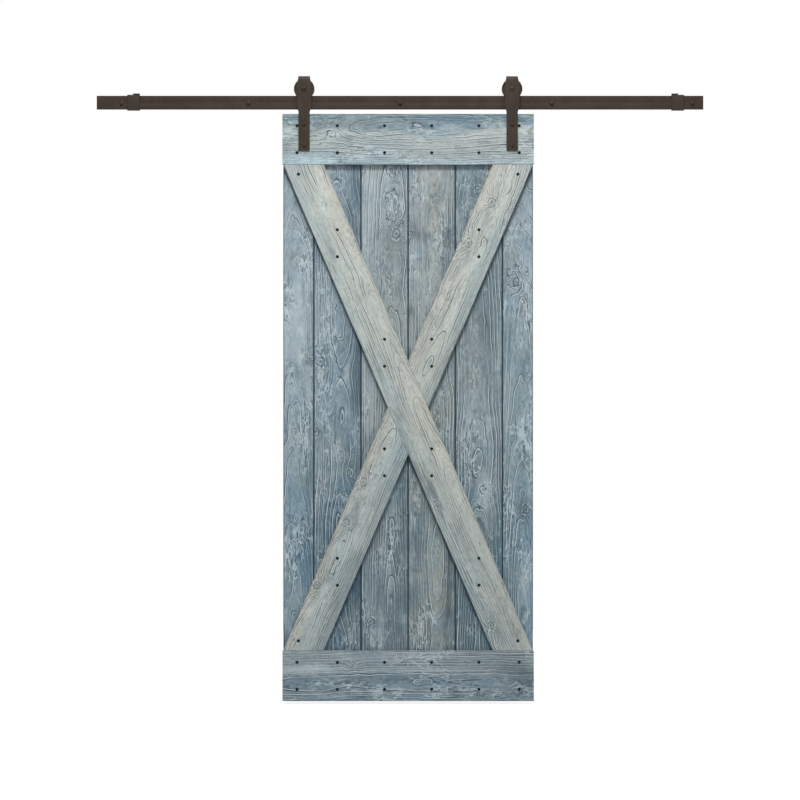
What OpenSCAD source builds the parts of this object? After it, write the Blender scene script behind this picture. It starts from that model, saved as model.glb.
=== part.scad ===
// Sliding barn door: a ledged and cross-braced plank leaf hung by two bent straps with grooved
// wheels from a flat steel track, which stands off the wall on spacers.
// X runs along the track, Y out of the wall (the wall's face is Y = 0, the room is at -Y), Z up.
// The origin is on the middle lag bolt's axis at the wall's face, level with the track's centreline.

/* [Door leaf] */
// Width of the leaf over its rails
door_w = 914; // [830:1:1150]
// Height of the leaf
door_h = 2134; // [1700:1:2600]
// Distance from the track's middle to the leaf's middle at rest
door_x = 29.5; // [-300:0.5:300]
// Gap between the track's lower edge and the leaf's top
top_gap = 16.6; // [12:0.2:40]
// Thickness of the vertical planks
plank_t = 19; // [16:0.5:24]
// Width that each full plank covers
plank_pitch = 171.5; // [140:0.5:180]
// How far the planks stop short of the rails' ends
edge_inset = 3; // [0:0.5:8]
// Thickness of the rails and braces
board_t = 16; // [12:0.5:20]
// Height of the top and bottom rails
rail_h = 184; // [130:1:240]
// Width of the brace boards
brace_w = 135; // [90:1:165]

/* [Wood joints] */
// Thickness of each plank's tongue
tongue_t = 6; // [4:0.5:8]
// Length of each plank's tongue
tongue_l = 8; // [5:0.5:11]
// Clearance on each side of a tongue
tongue_play = 0.3; // [0.1:0.05:0.6]
// Clearance past a tongue's end
tongue_end_play = 1; // [0.5:0.1:2]
// Gap between two planks' edges
seam_gap = 0.4; // [0.2:0.1:1]
// Bevel along each plank's joined edges
seam_bevel = 2; // [0.5:0.1:3]
// Bevel along the outer edges of planks, rails and braces
edge_bevel = 1.5; // [0.5:0.1:2.5]
// Gap where a brace meets a rail or the other brace
butt_gap = 0.3; // [0.2:0.1:1]

/* [Face screws] */
// Head diameter
screw_head_d = 9.5; // [8:0.5:12]
// Height of the head's rim above the board
screw_rim_h = 0.5; // [0.3:0.1:1]
// Height of the head's dome above its rim
screw_dome_h = 1; // [0.5:0.1:2]
// Shank diameter
screw_d = 4; // [3:0.5:5]
// Length under the head
screw_l = 28; // [24:1:31]
// Clearance around the shank and past its end
screw_play = 0.1; // [0.05:0.05:0.3]
// Vertical distance between the two screws of a pair
screw_pair = 98; // [60:1:110]
// Distance from a rail's edge to the single screw at a brace's end
screw_end_inset = 35; // [25:1:45]
// Gap between a strap's edge and the heads of the rail screws beside it
screw_strap_gap = 0.5; // [0.3:0.1:3]

/* [Track] */
// Length of the flat bar
track_l = 2206; // [1900:1:2600]
// Height of the flat bar
track_h = 50; // [40:1:60]
// Thickness of the flat bar
track_t = 6; // [5:0.5:8]
// Length of the spacers between the wall and the bar
spacer_l = 32; // [26:0.5:45]
// Diameter of the spacers
spacer_d = 22; // [16:0.5:22]
// Distance from the bar's left end to the first lag bolt
lag_left_inset = 91; // [76:1:100]
// Distance from the bar's right end to the last lag bolt
lag_right_inset = 41; // [25:1:55]

/* [Lag bolts] */
// Shank diameter
lag_d = 8; // [6:0.5:10]
// Diameter of the threaded stretch in the wall
lag_thread_d = 7.6; // [5.6:0.1:9]
// Length of the threaded stretch, without its tip
lag_thread_l = 42; // [30:1:60]
// Length of the pointed tip
lag_tip_l = 8; // [4:0.5:12]
// Width across flats of the hex heads of lag and strap bolts
hex_af = 13; // [10:0.5:14]
// Height of those heads
hex_h = 5.3; // [4:0.1:6]
// Thickness of the washers
washer_t = 1.6; // [1:0.1:2]
// Diameter of the washers
washer_d = 18; // [16:0.5:19]
// Radial clearance of a bolt in its hole
bolt_play = 0.3; // [0.1:0.05:0.6]

/* [End stops] */
// Length of each stop along the bar
stop_w = 45; // [38:1:55]
// Distance from the bar's left end to the left stop's middle
stop_left_inset = 134; // [130:1:160]
// Distance from the bar's right end to the right stop's middle
stop_right_inset = 93; // [90:1:140]
// Thickness of the stop in front of the bar
stop_front_t = 8; // [6:0.5:9]
// Thickness of the stop behind the bar
stop_back_t = 5; // [4:0.5:6]
// Thickness of the stop above the bar
stop_top_t = 3; // [2.5:0.1:5]
// Thickness of the stop below the bar
stop_bottom_t = 3.6; // [3:0.1:5]
// Clearance between the stop and the bar
stop_play = 0.15; // [0.05:0.05:0.4]
// Bevel on the stop's inner edges
stop_bevel = 4; // [1:0.5:5]
// Length of the rubber buffer along the bar
buffer_w = 24; // [16:1:30]
// Height of the buffer above the stop
buffer_h = 5; // [3:0.5:7]
// Depth of the buffer's seat in the stop
buffer_seat = 1.5; // [1:0.1:2]
// Diameter of the stop's grub screws
grub_d = 6; // [5:0.5:8]
// Length of the grub screws
grub_l = 8; // [7:0.5:12]
// Distance between a stop's two grub screws
grub_pitch = 24; // [16:1:28]

/* [Hanger straps] */
// Distance from the leaf's side to a strap's middle
hanger_inset = 79; // [60:1:110]
// Thickness of the strap
strap_t = 5; // [4:0.5:6]
// Width of the strap on the leaf
stem_w = 41; // [35:1:48]
// Width of the strap in front of the wheel
head_w = 54; // [50:1:60]
// Width of the strap where it bends over the wheel
crown_w = 42; // [36:1:50]
// Length of the strap below the leaf's top
strap_drop = 134; // [125:1:180]
// Inner radius of the strap's bends
bend_r = 7; // [4:0.5:10]
// Distance from the leaf's top to the upper strap bolt
bolt_top_inset = 36; // [25:1:45]
// Distance between the two strap bolts
bolt_pitch = 75; // [50:1:85]
// Diameter of the strap bolts
bolt_d = 8; // [6:0.5:9]
// Height of the nuts on the strap bolts
nut_h = 5; // [4:0.1:6]
// Length of bolt past a nut
bolt_past_nut = 1.5; // [1:0.1:2]

/* [Wheels] */
// Diameter over the flanges
wheel_d = 75; // [70:0.5:80]
// Width of the wheel
wheel_w = 22; // [18:0.5:24]
// Diameter at the bottom of the groove
groove_d = 49; // [46:0.5:54]
// Clearance between the groove's sides and the bar, on each side
groove_play = 0.8; // [0.4:0.1:1.2]
// How much each side of the groove opens out towards its mouth
groove_flare = 1.6; // [0.5:0.1:2.5]
// Gap between the groove and the bar at rest
roll_gap = 0.3; // [0.3:0.05:0.4]
// Gap between the wheel and each side of the strap
wheel_side_gap = 3; // [2:0.5:5]
// Gap between the wheel and the strap's crown
wheel_top_gap = 3.7; // [3:0.1:6]
// Depth of the recess in each face of the wheel
face_recess = 1.5; // [0.5:0.1:2.5]
// Width of the flat ring beside the bore and beside the rim
face_ring = 3.5; // [2:0.1:5]
// Diameter of the axle bolt
axle_d = 10; // [8:0.5:12]
// Diameter of the axle bolt's button head
axle_head_d = 20; // [18:0.5:24]
// Height of the axle bolt's button head
axle_head_h = 5; // [4:0.1:6]
// Height of the axle nut
axle_nut_h = 5; // [4:0.1:6]
// Width across flats of the axle nut
axle_nut_af = 16; // [15:0.5:18]

/* [Bearings] */
// Outer diameter of the ball bearing
bearing_d = 30; // [28:0.5:32]
// Width of the ball bearing
bearing_w = 9; // [8:0.5:10]
// Diameter of the bearing's balls
ball_d = 4.76; // [4:0.01:5]
// Number of balls
ball_count = 8; // [6:1:10]
// Clearance around each ball and around the axle
running_play = 0.05; // [0.02:0.01:0.08]
// Thickness of the bearing's shields
shield_t = 0.8; // [0.5:0.1:1]
// Gap between a shield and the inner ring
shield_gap = 0.3; // [0.3:0.05:0.5]
// Outer diameter of the bushes beside the bearing
bush_d = 14; // [13:0.1:15]

/* [Hidden] */
$fn = 64;
CUT = 1;          // how far a cutting tool reaches past the face it cuts
FAR = 4000;       // larger than any half-space that a cut has to cover
PLANKS = 6;       // vertical planks in the leaf
STEEL = [0.28, 0.24, 0.21];
BLACK = [0.09, 0.09, 0.09];
ZINC = [0.62, 0.63, 0.64];
STAIN = [0.56, 0.62, 0.64];
PALE_STAIN = [0.70, 0.72, 0.70];

// Places across the wall, front faces being the lower Y
track_back = -spacer_l;
track_front = track_back - track_t;
wheel_y = track_back - track_t / 2;
strap_gap = wheel_w + 2 * wheel_side_gap;
leaf_front = wheel_y - strap_gap / 2;
board_back = leaf_front + board_t;
leaf_back = board_back + plank_t;
strap_front = leaf_front - strap_t;
rear_leg_front = wheel_y + strap_gap / 2;
rear_leg_back = rear_leg_front + strap_t;

// Heights
leaf_top = -track_h / 2 - top_gap;
leaf_bottom = leaf_top - door_h;
wheel_z = track_h / 2 + roll_gap + groove_d / 2;
crown_in = wheel_z + wheel_d / 2 + wheel_top_gap;
crown_out = crown_in + strap_t;
opening_h = door_h - 2 * rail_h;
opening_z = leaf_top - door_h / 2;
shoulder_low = -track_h / 2 - top_gap * 0.6;
shoulder_high = -track_h / 2 + head_w * 0.22;
neck_low = wheel_z + head_w * 0.22;
bolt_zs = [leaf_top - bolt_top_inset, leaf_top - bolt_top_inset - bolt_pitch];
rail_row_zs = [screw_pair / 2, -screw_pair / 2];

// Places along the track
field_w = door_w - 2 * edge_inset;
lag_xs = [
    -track_l / 2 + lag_left_inset,
    -track_l / 4,
    0,
    track_l / 4,
    track_l / 2 - lag_right_inset,
];
stop_left_x = -track_l / 2 + stop_left_inset;
stop_right_x = track_l / 2 - stop_right_inset;
hanger_left_x = door_x - door_w / 2 + hanger_inset;
hanger_right_x = door_x + door_w / 2 - hanger_inset;

// Planks: seams counted from the left, and the middle of each plank relative to the leaf's middle
function seam_x(k) = (k - PLANKS / 2) * plank_pitch;
function plank_left(i) = i == 0 ? -field_w / 2 : seam_x(i) + seam_gap / 2;
function plank_right(i) = i == PLANKS - 1 ? field_w / 2 : seam_x(i + 1) - seam_gap / 2;
function plank_mid(i) = (plank_left(i) + plank_right(i)) / 2;
groove_t = tongue_t + 2 * tongue_play;
groove_l = tongue_l + tongue_end_play - seam_gap;

// Braces: the outer edge of each brace runs into a corner of the opening between the rails
brace_angle = acos(brace_w / norm([field_w, opening_h])) - atan2(opening_h, field_w);
brace_l = norm([field_w, opening_h]) + 2 * brace_w;

// Face screws as [x, z] relative to the leaf's middle and the opening's middle
function brace_pair(x, lean) = [for (dz = rail_row_zs) [x, -lean * x / tan(brace_angle) + dz]];
function end_screw(x, side) = [x, side * (opening_h / 2 - screw_end_inset)];
function flat(lists) = [for (l = lists) each l];
strap_side_x = door_w / 2 - hanger_inset + stem_w / 2 + screw_head_d / 2 + screw_strap_gap;
rail_xs = concat([-strap_side_x], [for (i = [1:PLANKS - 2]) plank_mid(i)], [strap_side_x]);
rail_screw_xz = flat([for (x = rail_xs) [for (dz = rail_row_zs) [x, dz]]]);
top_rail_xz = [for (p = rail_screw_xz) [p.x, p.y + opening_h / 2 + rail_h / 2]];
bottom_rail_xz = [for (p = rail_screw_xz) [p.x, p.y - opening_h / 2 - rail_h / 2]];
long_brace_xz = concat(
    flat([for (i = [1:PLANKS - 2]) brace_pair(plank_mid(i), 1)]),
    [end_screw(plank_mid(0), 1), end_screw(plank_mid(PLANKS - 1), -1)]
);
upper_brace_xz = concat(
    flat([for (i = [PLANKS / 2:PLANKS - 2]) brace_pair(plank_mid(i), -1)]),
    [end_screw(plank_mid(PLANKS - 1), 1)]
);
lower_brace_xz = concat(
    flat([for (i = [1:PLANKS / 2 - 1]) brace_pair(plank_mid(i), -1)]),
    [end_screw(plank_mid(0), -1)]
);
all_screws_xz = concat(top_rail_xz, bottom_rail_xz, long_brace_xz, upper_brace_xz, lower_brace_xz);

// Wheel and bearing radii
wheel_r = wheel_d / 2;
bearing_r = bearing_d / 2;
ball_r = ball_d / 2;
ball_pitch_r = (axle_d / 2 + bearing_r) / 2;
race_r = ball_r + running_play;
ring_land = ball_r * 0.66;
inner_ring_r = ball_pitch_r - ring_land;
outer_ring_r = ball_pitch_r + ring_land;
bush_l = (strap_gap - bearing_w) / 2;
lip_r = bearing_r - 2.5;
press_gap = 0.02;

// ---- Shared shapes ----

// A round rod parallel to Y between two depths
module rod_y(x, z, y_from, y_to, d) {
    translate([x, y_to, z]) rotate([90, 0, 0]) cylinder(h = y_to - y_from, d = d);
}

// Turns a shape standing on Z so that its top points out into the room
module face_out(x, y, z) {
    translate([x, y, z]) rotate([90, 0, 0]) children();
}

// A hexagonal prism with its corners turned off at the top
module hex_head(af, h) {
    corner_d = af / cos(30);
    intersection() {
        cylinder(h = h, d = corner_d, $fn = 6);
        union() {
            cylinder(h = h * 0.75, d = corner_d + CUT);
            translate([0, 0, h * 0.75]) cylinder(h = h * 0.25, d1 = corner_d, d2 = af * 0.94);
        }
    }
}

// A plain hexagonal nut, standing on Z
module hex_nut(af, h, bore) {
    difference() {
        hex_head(af, h);
        translate([0, 0, -CUT]) cylinder(h = h + 2 * CUT, d = bore);
    }
}

// A low dome that stands on Z: a rim with an arc above it
module dome_head(d, rim_h, dome_h) {
    arc_r = (d * d / 4 + dome_h * dome_h) / (2 * dome_h);
    arc_a = asin(d / 2 / arc_r);
    steps = 6;
    rotate_extrude()
        polygon(concat(
            [[0, 0], [d / 2, 0]],
            [for (i = [steps:-1:1])
                [arc_r * sin(arc_a * i / steps), rim_h + dome_h - arc_r * (1 - cos(arc_a * i / steps))]],
            [[0, rim_h + dome_h]]
        ));
}

// A flat ring standing on Z
module ring(h, d_out, d_in) {
    difference() {
        cylinder(h = h, d = d_out);
        translate([0, 0, -CUT]) cylinder(h = h + 2 * CUT, d = d_in);
    }
}

// ---- Track ----

module track_bar() {
    color(STEEL)
    difference() {
        translate([-track_l / 2, track_front, -track_h / 2]) cube([track_l, track_t, track_h]);
        for (x = lag_xs)
            rod_y(x, 0, track_front - CUT, track_back + CUT, lag_d + 2 * bolt_play);
    }
}

module wall_spacer(x) {
    color(STEEL)
    difference() {
        rod_y(x, 0, track_back, 0, spacer_d);
        rod_y(x, 0, track_back - CUT, CUT, lag_d + 2 * bolt_play);
    }
}

module lag_bolt(x) {
    color(STEEL) {
        face_out(x, track_front - washer_t, 0) hex_head(hex_af, hex_h);
        rod_y(x, 0, track_front - washer_t, 0, lag_d);
        rod_y(x, 0, 0, lag_thread_l, lag_thread_d);
        translate([x, lag_thread_l, 0]) rotate([-90, 0, 0])
            cylinder(h = lag_tip_l, d1 = lag_thread_d, d2 = lag_thread_d / 8);
    }
}

module lag_washers() {
    color(STEEL)
    for (x = lag_xs)
        face_out(x, track_front, 0) ring(washer_t, washer_d, lag_d + 2 * bolt_play);
}

// ---- End stops ----
// Each is drawn for the left end, with the wheel's side at +X, and mirrored for the right end.

module place_stop(x, side) {
    translate([x, 0, 0]) mirror([side > 0 ? 0 : 1, 0, 0]) children();
}

stop_front = track_front - stop_front_t;
stop_depth = stop_front_t + track_t + stop_back_t;
stop_low = -track_h / 2 - stop_bottom_t;
stop_high = track_h / 2 + stop_top_t;
buffer_depth = stop_depth - 2 * buffer_seat;

module end_stop(x, side) {
    color(STEEL)
    place_stop(x, side)
    difference() {
        translate([-stop_w / 2, stop_front, stop_low]) cube([stop_w, stop_depth, stop_high - stop_low]);
        translate([-stop_w / 2 - CUT, track_front - stop_play, -track_h / 2 - stop_play])
            cube([stop_w + 2 * CUT, track_t + 2 * stop_play, track_h + 2 * stop_play]);
        translate([stop_w / 2 - buffer_w, stop_front + buffer_seat, stop_high - buffer_seat])
            cube([buffer_w + CUT, buffer_depth, buffer_seat + CUT]);
        stop_edge_cut(stop_w / 2, stop_front);
        for (dx = [-grub_pitch / 2, grub_pitch / 2])
            rod_y(dx, 0, track_back, track_back + stop_back_t + CUT, grub_d);
    }
}

// Cuts the bevel off the front edge on the wheel's side
module stop_edge_cut(edge_x, edge_y) {
    translate([0, 0, stop_low - CUT])
        linear_extrude(height = stop_high - stop_low + buffer_h + 2 * CUT)
        polygon([
            [edge_x - stop_bevel, edge_y - CUT],
            [edge_x + CUT, edge_y - CUT],
            [edge_x + CUT, edge_y + stop_bevel],
            [edge_x, edge_y + stop_bevel],
            [edge_x - stop_bevel, edge_y],
        ]);
}

module stop_buffer(x, side) {
    color(BLACK)
    place_stop(x, side)
    difference() {
        translate([stop_w / 2 - buffer_w, stop_front + buffer_seat, stop_high - buffer_seat])
            cube([buffer_w, buffer_depth, buffer_seat + buffer_h]);
        stop_edge_cut(stop_w / 2, stop_front);
    }
}

module stop_grub_screws(x, side) {
    socket_af = grub_d / 2;
    color(BLACK)
    place_stop(x, side)
    for (dx = [-grub_pitch / 2, grub_pitch / 2])
        difference() {
            rod_y(dx, 0, track_back, track_back + grub_l, grub_d - 2 * running_play);
            translate([dx, track_back + grub_l - socket_af, 0]) rotate([-90, 0, 0])
                cylinder(h = socket_af + CUT, d = socket_af / cos(30), $fn = 6);
        }
}

// ---- Door leaf ----

// Places a shape drawn about the middle of the opening between the rails
module on_leaf() {
    translate([door_x, 0, opening_z]) children();
}

// Clearance holes for face screws, bored from the front
module screw_holes(points) {
    hole_d = screw_d + 2 * screw_play;
    for (p = points)
        rod_y(p.x, p.y, leaf_front - CUT, leaf_front + screw_l + screw_play, hole_d);
}

// Through holes for the strap bolts of one hanger, in the leaf's own place
module strap_bolt_holes(x, y_from, y_to) {
    for (z = bolt_zs)
        rod_y(x, z, y_from - CUT, y_to + CUT, bolt_d + 2 * bolt_play);
}

module plank(i) {
    l = plank_left(i);
    r = plank_right(i);
    has_groove = i > 0;
    has_tongue = i < PLANKS - 1;
    bl = has_groove ? seam_bevel : edge_bevel;
    br = has_tongue ? seam_bevel : edge_bevel;
    f = board_back;
    b = leaf_back;
    mid = (f + b) / 2;
    reach = tongue_l + screw_d;
    color(STAIN)
    difference() {
        on_leaf() {
            translate([0, 0, -door_h / 2])
            linear_extrude(height = door_h)
            polygon(concat(
                [[l, f + bl], [l + bl, f], [r - br, f], [r, f + br]],
                has_tongue ? [
                    [r, mid - tongue_t / 2],
                    [r + tongue_l, mid - tongue_t / 2],
                    [r + tongue_l, mid + tongue_t / 2],
                    [r, mid + tongue_t / 2],
                ] : [],
                [[r, b - br], [r - br, b], [l + bl, b], [l, b - bl]],
                has_groove ? [
                    [l, mid + groove_t / 2],
                    [l + groove_l, mid + groove_t / 2],
                    [l + groove_l, mid - groove_t / 2],
                    [l, mid - groove_t / 2],
                ] : []
            ));
        }
        on_leaf() screw_holes([for (p = all_screws_xz) if (p.x > l - reach && p.x < r + reach) p]);
        for (x = [hanger_left_x, hanger_right_x])
            if (x - door_x > l - reach - bolt_d && x - door_x < r + reach + bolt_d)
                strap_bolt_holes(x, board_back, leaf_back);
    }
}

// Cross-section of a rail or brace: width along X, thickness along Y, front edges bevelled
module board_section(w) {
    polygon([
        [-w / 2, leaf_front + edge_bevel],
        [-w / 2 + edge_bevel, leaf_front],
        [w / 2 - edge_bevel, leaf_front],
        [w / 2, leaf_front + edge_bevel],
        [w / 2, board_back],
        [-w / 2, board_back],
    ]);
}

module rail_board(z) {
    translate([0, 0, z]) rotate([0, 90, 0])
        linear_extrude(height = door_w, center = true) board_section(rail_h);
}

module top_rail() {
    color(STAIN)
    difference() {
        on_leaf() rail_board(opening_h / 2 + rail_h / 2);
        on_leaf() screw_holes(top_rail_xz);
        for (x = [hanger_left_x, hanger_right_x])
            strap_bolt_holes(x, leaf_front, board_back);
    }
}

module bottom_rail() {
    color(STAIN)
    on_leaf()
    difference() {
        rail_board(-opening_h / 2 - rail_h / 2);
        screw_holes(bottom_rail_xz);
    }
}

// A brace board leaning by an angle, cut level where it meets the rails
module leaning_board(angle) {
    h = opening_h - 2 * butt_gap;
    intersection() {
        rotate([0, angle, 0]) linear_extrude(height = brace_l, center = true) board_section(brace_w);
        translate([-field_w / 2, leaf_front - CUT, -h / 2]) cube([field_w, board_t + 2 * CUT, h]);
    }
}

module long_brace() {
    color(PALE_STAIN)
    on_leaf()
    difference() {
        leaning_board(-brace_angle);
        screw_holes(long_brace_xz);
    }
}

// Half of the other diagonal: what lies past the long brace on one side
module half_brace(side, points) {
    color(PALE_STAIN)
    on_leaf()
    difference() {
        leaning_board(brace_angle);
        rotate([0, -brace_angle, 0]) mirror([side > 0 ? 0 : 1, 0, 0])
            translate([brace_w / 2 + butt_gap - FAR, leaf_front - CUT, -FAR / 2])
            cube([FAR, board_t + 2 * CUT, FAR]);
        screw_holes(points);
    }
}

module face_screws(points) {
    color(BLACK)
    on_leaf()
    for (p = points) {
        face_out(p.x, leaf_front, p.y) dome_head(screw_head_d, screw_rim_h, screw_dome_h);
        rod_y(p.x, p.y, leaf_front, leaf_front + screw_l, screw_d);
    }
}

// ---- Hangers ----

// Side view of the strap as seen along X: an upturned U over the wheel with a long front leg
module strap_side() {
    out_r = bend_r + strap_t;
    low = leaf_top - strap_drop;
    steps = 8;
    corner_y = [strap_front + out_r, rear_leg_back - out_r];
    corner_z = crown_out - out_r;
    arc = [for (i = [0:steps]) 90 * i / steps];
    polygon(concat(
        [[strap_front, low]],
        [for (a = arc) [corner_y[0] - out_r * cos(a), corner_z + out_r * sin(a)]],
        [for (a = arc) [corner_y[1] + out_r * sin(a), corner_z + out_r * cos(a)]],
        [[rear_leg_back, low], [rear_leg_front, low]],
        [for (a = arc) [corner_y[1] + bend_r * cos(a), corner_z + bend_r * sin(a)]],
        [for (a = arc) [corner_y[0] - bend_r * sin(a), corner_z + bend_r * cos(a)]],
        [[leaf_front, low]]
    ));
}

// Right half of the strap's outline above a height, seen from the front, as [x, z] points
function neck_points() = [[head_w / 2, neck_low], [crown_w / 2, crown_in], [crown_w / 2, crown_out + CUT]];

function mirrored(points) = concat(points, [for (i = [len(points) - 1:-1:0]) [-points[i].x, points[i].y]]);

// Outline of the front leg and the crown
module strap_front_outline() {
    low = leaf_top - strap_drop;
    corner = edge_bevel;
    polygon(mirrored(concat(
        [
            [stem_w / 2 - corner, low],
            [stem_w / 2, low + corner],
            [stem_w / 2, shoulder_low],
            [head_w / 2, shoulder_high],
        ],
        neck_points()
    )));
}

// Outline of the rear leg, which ends in a half round about the axle
module strap_rear_outline() {
    steps = 12;
    polygon(mirrored(concat(
        [for (i = [0:steps]) [head_w / 2 * sin(90 * i / steps), wheel_z - head_w / 2 * cos(90 * i / steps)]],
        neck_points()
    )));
}

module strap(x) {
    color(STEEL)
    translate([x, 0, 0])
    difference() {
        intersection() {
            rotate([90, 0, 90]) linear_extrude(height = head_w + 2 * CUT, center = true) strap_side();
            union() {
                translate([0, wheel_y, 0]) rotate([90, 0, 0])
                    linear_extrude(height = strap_gap) strap_front_outline();
                translate([0, wheel_y + strap_gap, 0]) rotate([90, 0, 0])
                    linear_extrude(height = strap_gap) strap_rear_outline();
            }
        }
        rod_y(0, wheel_z, strap_front - CUT, rear_leg_back + CUT, axle_d + 2 * running_play);
        for (z = bolt_zs)
            rod_y(0, z, strap_front - CUT, leaf_front + CUT, bolt_d + 2 * bolt_play);
    }
}

module strap_bolts(x) {
    color(STEEL)
    for (z = bolt_zs) {
        face_out(x, strap_front, z) hex_head(hex_af, hex_h);
        rod_y(x, z, strap_front, leaf_back + washer_t + nut_h + bolt_past_nut, bolt_d);
    }
}

module strap_washers(x) {
    color(ZINC)
    for (z = bolt_zs)
        face_out(x, leaf_back + washer_t, z) ring(washer_t, washer_d, bolt_d + 2 * bolt_play);
}

module strap_nuts(x) {
    color(ZINC)
    for (z = bolt_zs)
        translate([x, leaf_back + washer_t, z]) rotate([-90, 0, 0])
            hex_nut(hex_af, nut_h, bolt_d + 2 * running_play);
}

module axle_bolt(x) {
    socket_af = axle_d * 0.6;
    color(STEEL)
    difference() {
        union() {
            face_out(x, strap_front, wheel_z) dome_head(axle_head_d, axle_head_h * 0.3, axle_head_h * 0.7);
            rod_y(x, wheel_z, strap_front, rear_leg_back + axle_nut_h + bolt_past_nut, axle_d);
        }
        face_out(x, strap_front - axle_head_h * 0.3, wheel_z)
            cylinder(h = axle_head_h, d = socket_af / cos(30), $fn = 6);
    }
}

module axle_nut(x) {
    color(ZINC)
    translate([x, rear_leg_back, wheel_z]) rotate([-90, 0, 0])
        hex_nut(axle_nut_af, axle_nut_h, axle_d + 2 * running_play);
}

module axle_bushes(x) {
    color(ZINC)
    for (y = [leaf_front + bush_l, rear_leg_front])
        face_out(x, y, wheel_z) ring(bush_l, bush_d, axle_d + 2 * running_play);
}

// A ring of the bearing's race, standing on Z about its own middle
module race_cut() {
    rotate_extrude() translate([ball_pitch_r, 0]) circle(r = race_r);
}

module bearing_inner(x) {
    color(ZINC)
    face_out(x, wheel_y, wheel_z)
    difference() {
        translate([0, 0, -bearing_w / 2]) ring(bearing_w, 2 * inner_ring_r, axle_d + 2 * running_play);
        race_cut();
    }
}

module bearing_outer(x) {
    color(ZINC)
    face_out(x, wheel_y, wheel_z) {
        difference() {
            translate([0, 0, -bearing_w / 2])
                ring(bearing_w, bearing_d - 2 * press_gap, 2 * outer_ring_r);
            race_cut();
        }
        for (z = [-bearing_w / 2, bearing_w / 2 - shield_t])
            translate([0, 0, z])
                ring(shield_t, 2 * outer_ring_r + CUT, 2 * (inner_ring_r + shield_gap));
    }
}

module bearing_balls(x) {
    color(ZINC)
    face_out(x, wheel_y, wheel_z)
    for (i = [0:ball_count - 1])
        rotate([0, 0, 360 * i / ball_count]) translate([ball_pitch_r, 0, 0]) sphere(r = ball_r);
}

// Half section of the wheel, from the bearing's seat round the flanges and the groove
module wheel_section() {
    h = wheel_w / 2;
    groove_h = track_t / 2 + groove_play;
    mouth_h = groove_h + groove_flare;
    web_in = bearing_r + face_ring;
    web_out = wheel_r - face_ring - face_recess;
    soft = face_recess / 2;
    polygon([
        [bearing_r, h], [bearing_r, -bearing_w / 2], [lip_r, -bearing_w / 2], [lip_r, -h],
        [web_in, -h], [web_in + face_recess, face_recess - h],
        [web_out, face_recess - h], [web_out + face_recess, -h],
        [wheel_r - soft, -h], [wheel_r, soft - h], [wheel_r, -mouth_h],
        [groove_d / 2, -groove_h], [groove_d / 2, groove_h],
        [wheel_r, mouth_h], [wheel_r, h - soft], [wheel_r - soft, h],
        [web_out + face_recess, h], [web_out, h - face_recess],
        [web_in + face_recess, h - face_recess], [web_in, h],
    ]);
}

module wheel(x) {
    color(STEEL)
    face_out(x, wheel_y, wheel_z) rotate_extrude() wheel_section();
}

// ---- Nodes ----

track_bar();
wall_spacer(lag_xs[0]);  // wall_spacer_1
wall_spacer(lag_xs[1]);  // wall_spacer_2
wall_spacer(lag_xs[2]);  // wall_spacer_3
wall_spacer(lag_xs[3]);  // wall_spacer_4
wall_spacer(lag_xs[4]);  // wall_spacer_5
lag_bolt(lag_xs[0]);  // lag_bolt_1
lag_bolt(lag_xs[1]);  // lag_bolt_2
lag_bolt(lag_xs[2]);  // lag_bolt_3
lag_bolt(lag_xs[3]);  // lag_bolt_4
lag_bolt(lag_xs[4]);  // lag_bolt_5
lag_washers();
end_stop(stop_left_x, 1);  // end_stop_left
end_stop(stop_right_x, -1);  // end_stop_right
stop_buffer(stop_left_x, 1);  // stop_buffer_left
stop_buffer(stop_right_x, -1);  // stop_buffer_right
stop_grub_screws(stop_left_x, 1);  // stop_grub_screws_left
stop_grub_screws(stop_right_x, -1);  // stop_grub_screws_right
plank(0);  // plank_1
plank(1);  // plank_2
plank(2);  // plank_3
plank(3);  // plank_4
plank(4);  // plank_5
plank(5);  // plank_6
top_rail();
bottom_rail();
long_brace();
half_brace(1, upper_brace_xz);  // upper_brace
half_brace(-1, lower_brace_xz);  // lower_brace
face_screws(top_rail_xz);  // top_rail_screws
face_screws(bottom_rail_xz);  // bottom_rail_screws
face_screws(long_brace_xz);  // long_brace_screws
face_screws(upper_brace_xz);  // upper_brace_screws
face_screws(lower_brace_xz);  // lower_brace_screws
strap(hanger_left_x);  // strap_left
strap_bolts(hanger_left_x);  // strap_bolts_left
strap_washers(hanger_left_x);  // strap_washers_left
strap_nuts(hanger_left_x);  // strap_nuts_left
axle_bolt(hanger_left_x);  // axle_bolt_left
axle_nut(hanger_left_x);  // axle_nut_left
axle_bushes(hanger_left_x);  // axle_bushes_left
bearing_inner(hanger_left_x);  // bearing_inner_left
bearing_outer(hanger_left_x);  // bearing_outer_left
bearing_balls(hanger_left_x);  // bearing_balls_left
wheel(hanger_left_x);  // wheel_left
strap(hanger_right_x);  // strap_right
strap_bolts(hanger_right_x);  // strap_bolts_right
strap_washers(hanger_right_x);  // strap_washers_right
strap_nuts(hanger_right_x);  // strap_nuts_right
axle_bolt(hanger_right_x);  // axle_bolt_right
axle_nut(hanger_right_x);  // axle_nut_right
axle_bushes(hanger_right_x);  // axle_bushes_right
bearing_inner(hanger_right_x);  // bearing_inner_right
bearing_outer(hanger_right_x);  // bearing_outer_right
bearing_balls(hanger_right_x);  // bearing_balls_right
wheel(hanger_right_x);  // wheel_right
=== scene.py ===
"""Finishes a sliding barn door: stained pine boards, bronze-coated hangers and a plain studio.

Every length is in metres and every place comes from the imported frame: X runs along the track, Y
into the wall, Z up, and the room side of the door faces -Y.
"""

import logging
import math
from dataclasses import dataclass, field
from enum import Enum

import bmesh
import bpy
import numpy as np
from bpy.types import Material, Mesh, Node, NodeSocket, NodeTree, Object
from mathutils import Matrix, Vector

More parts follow.
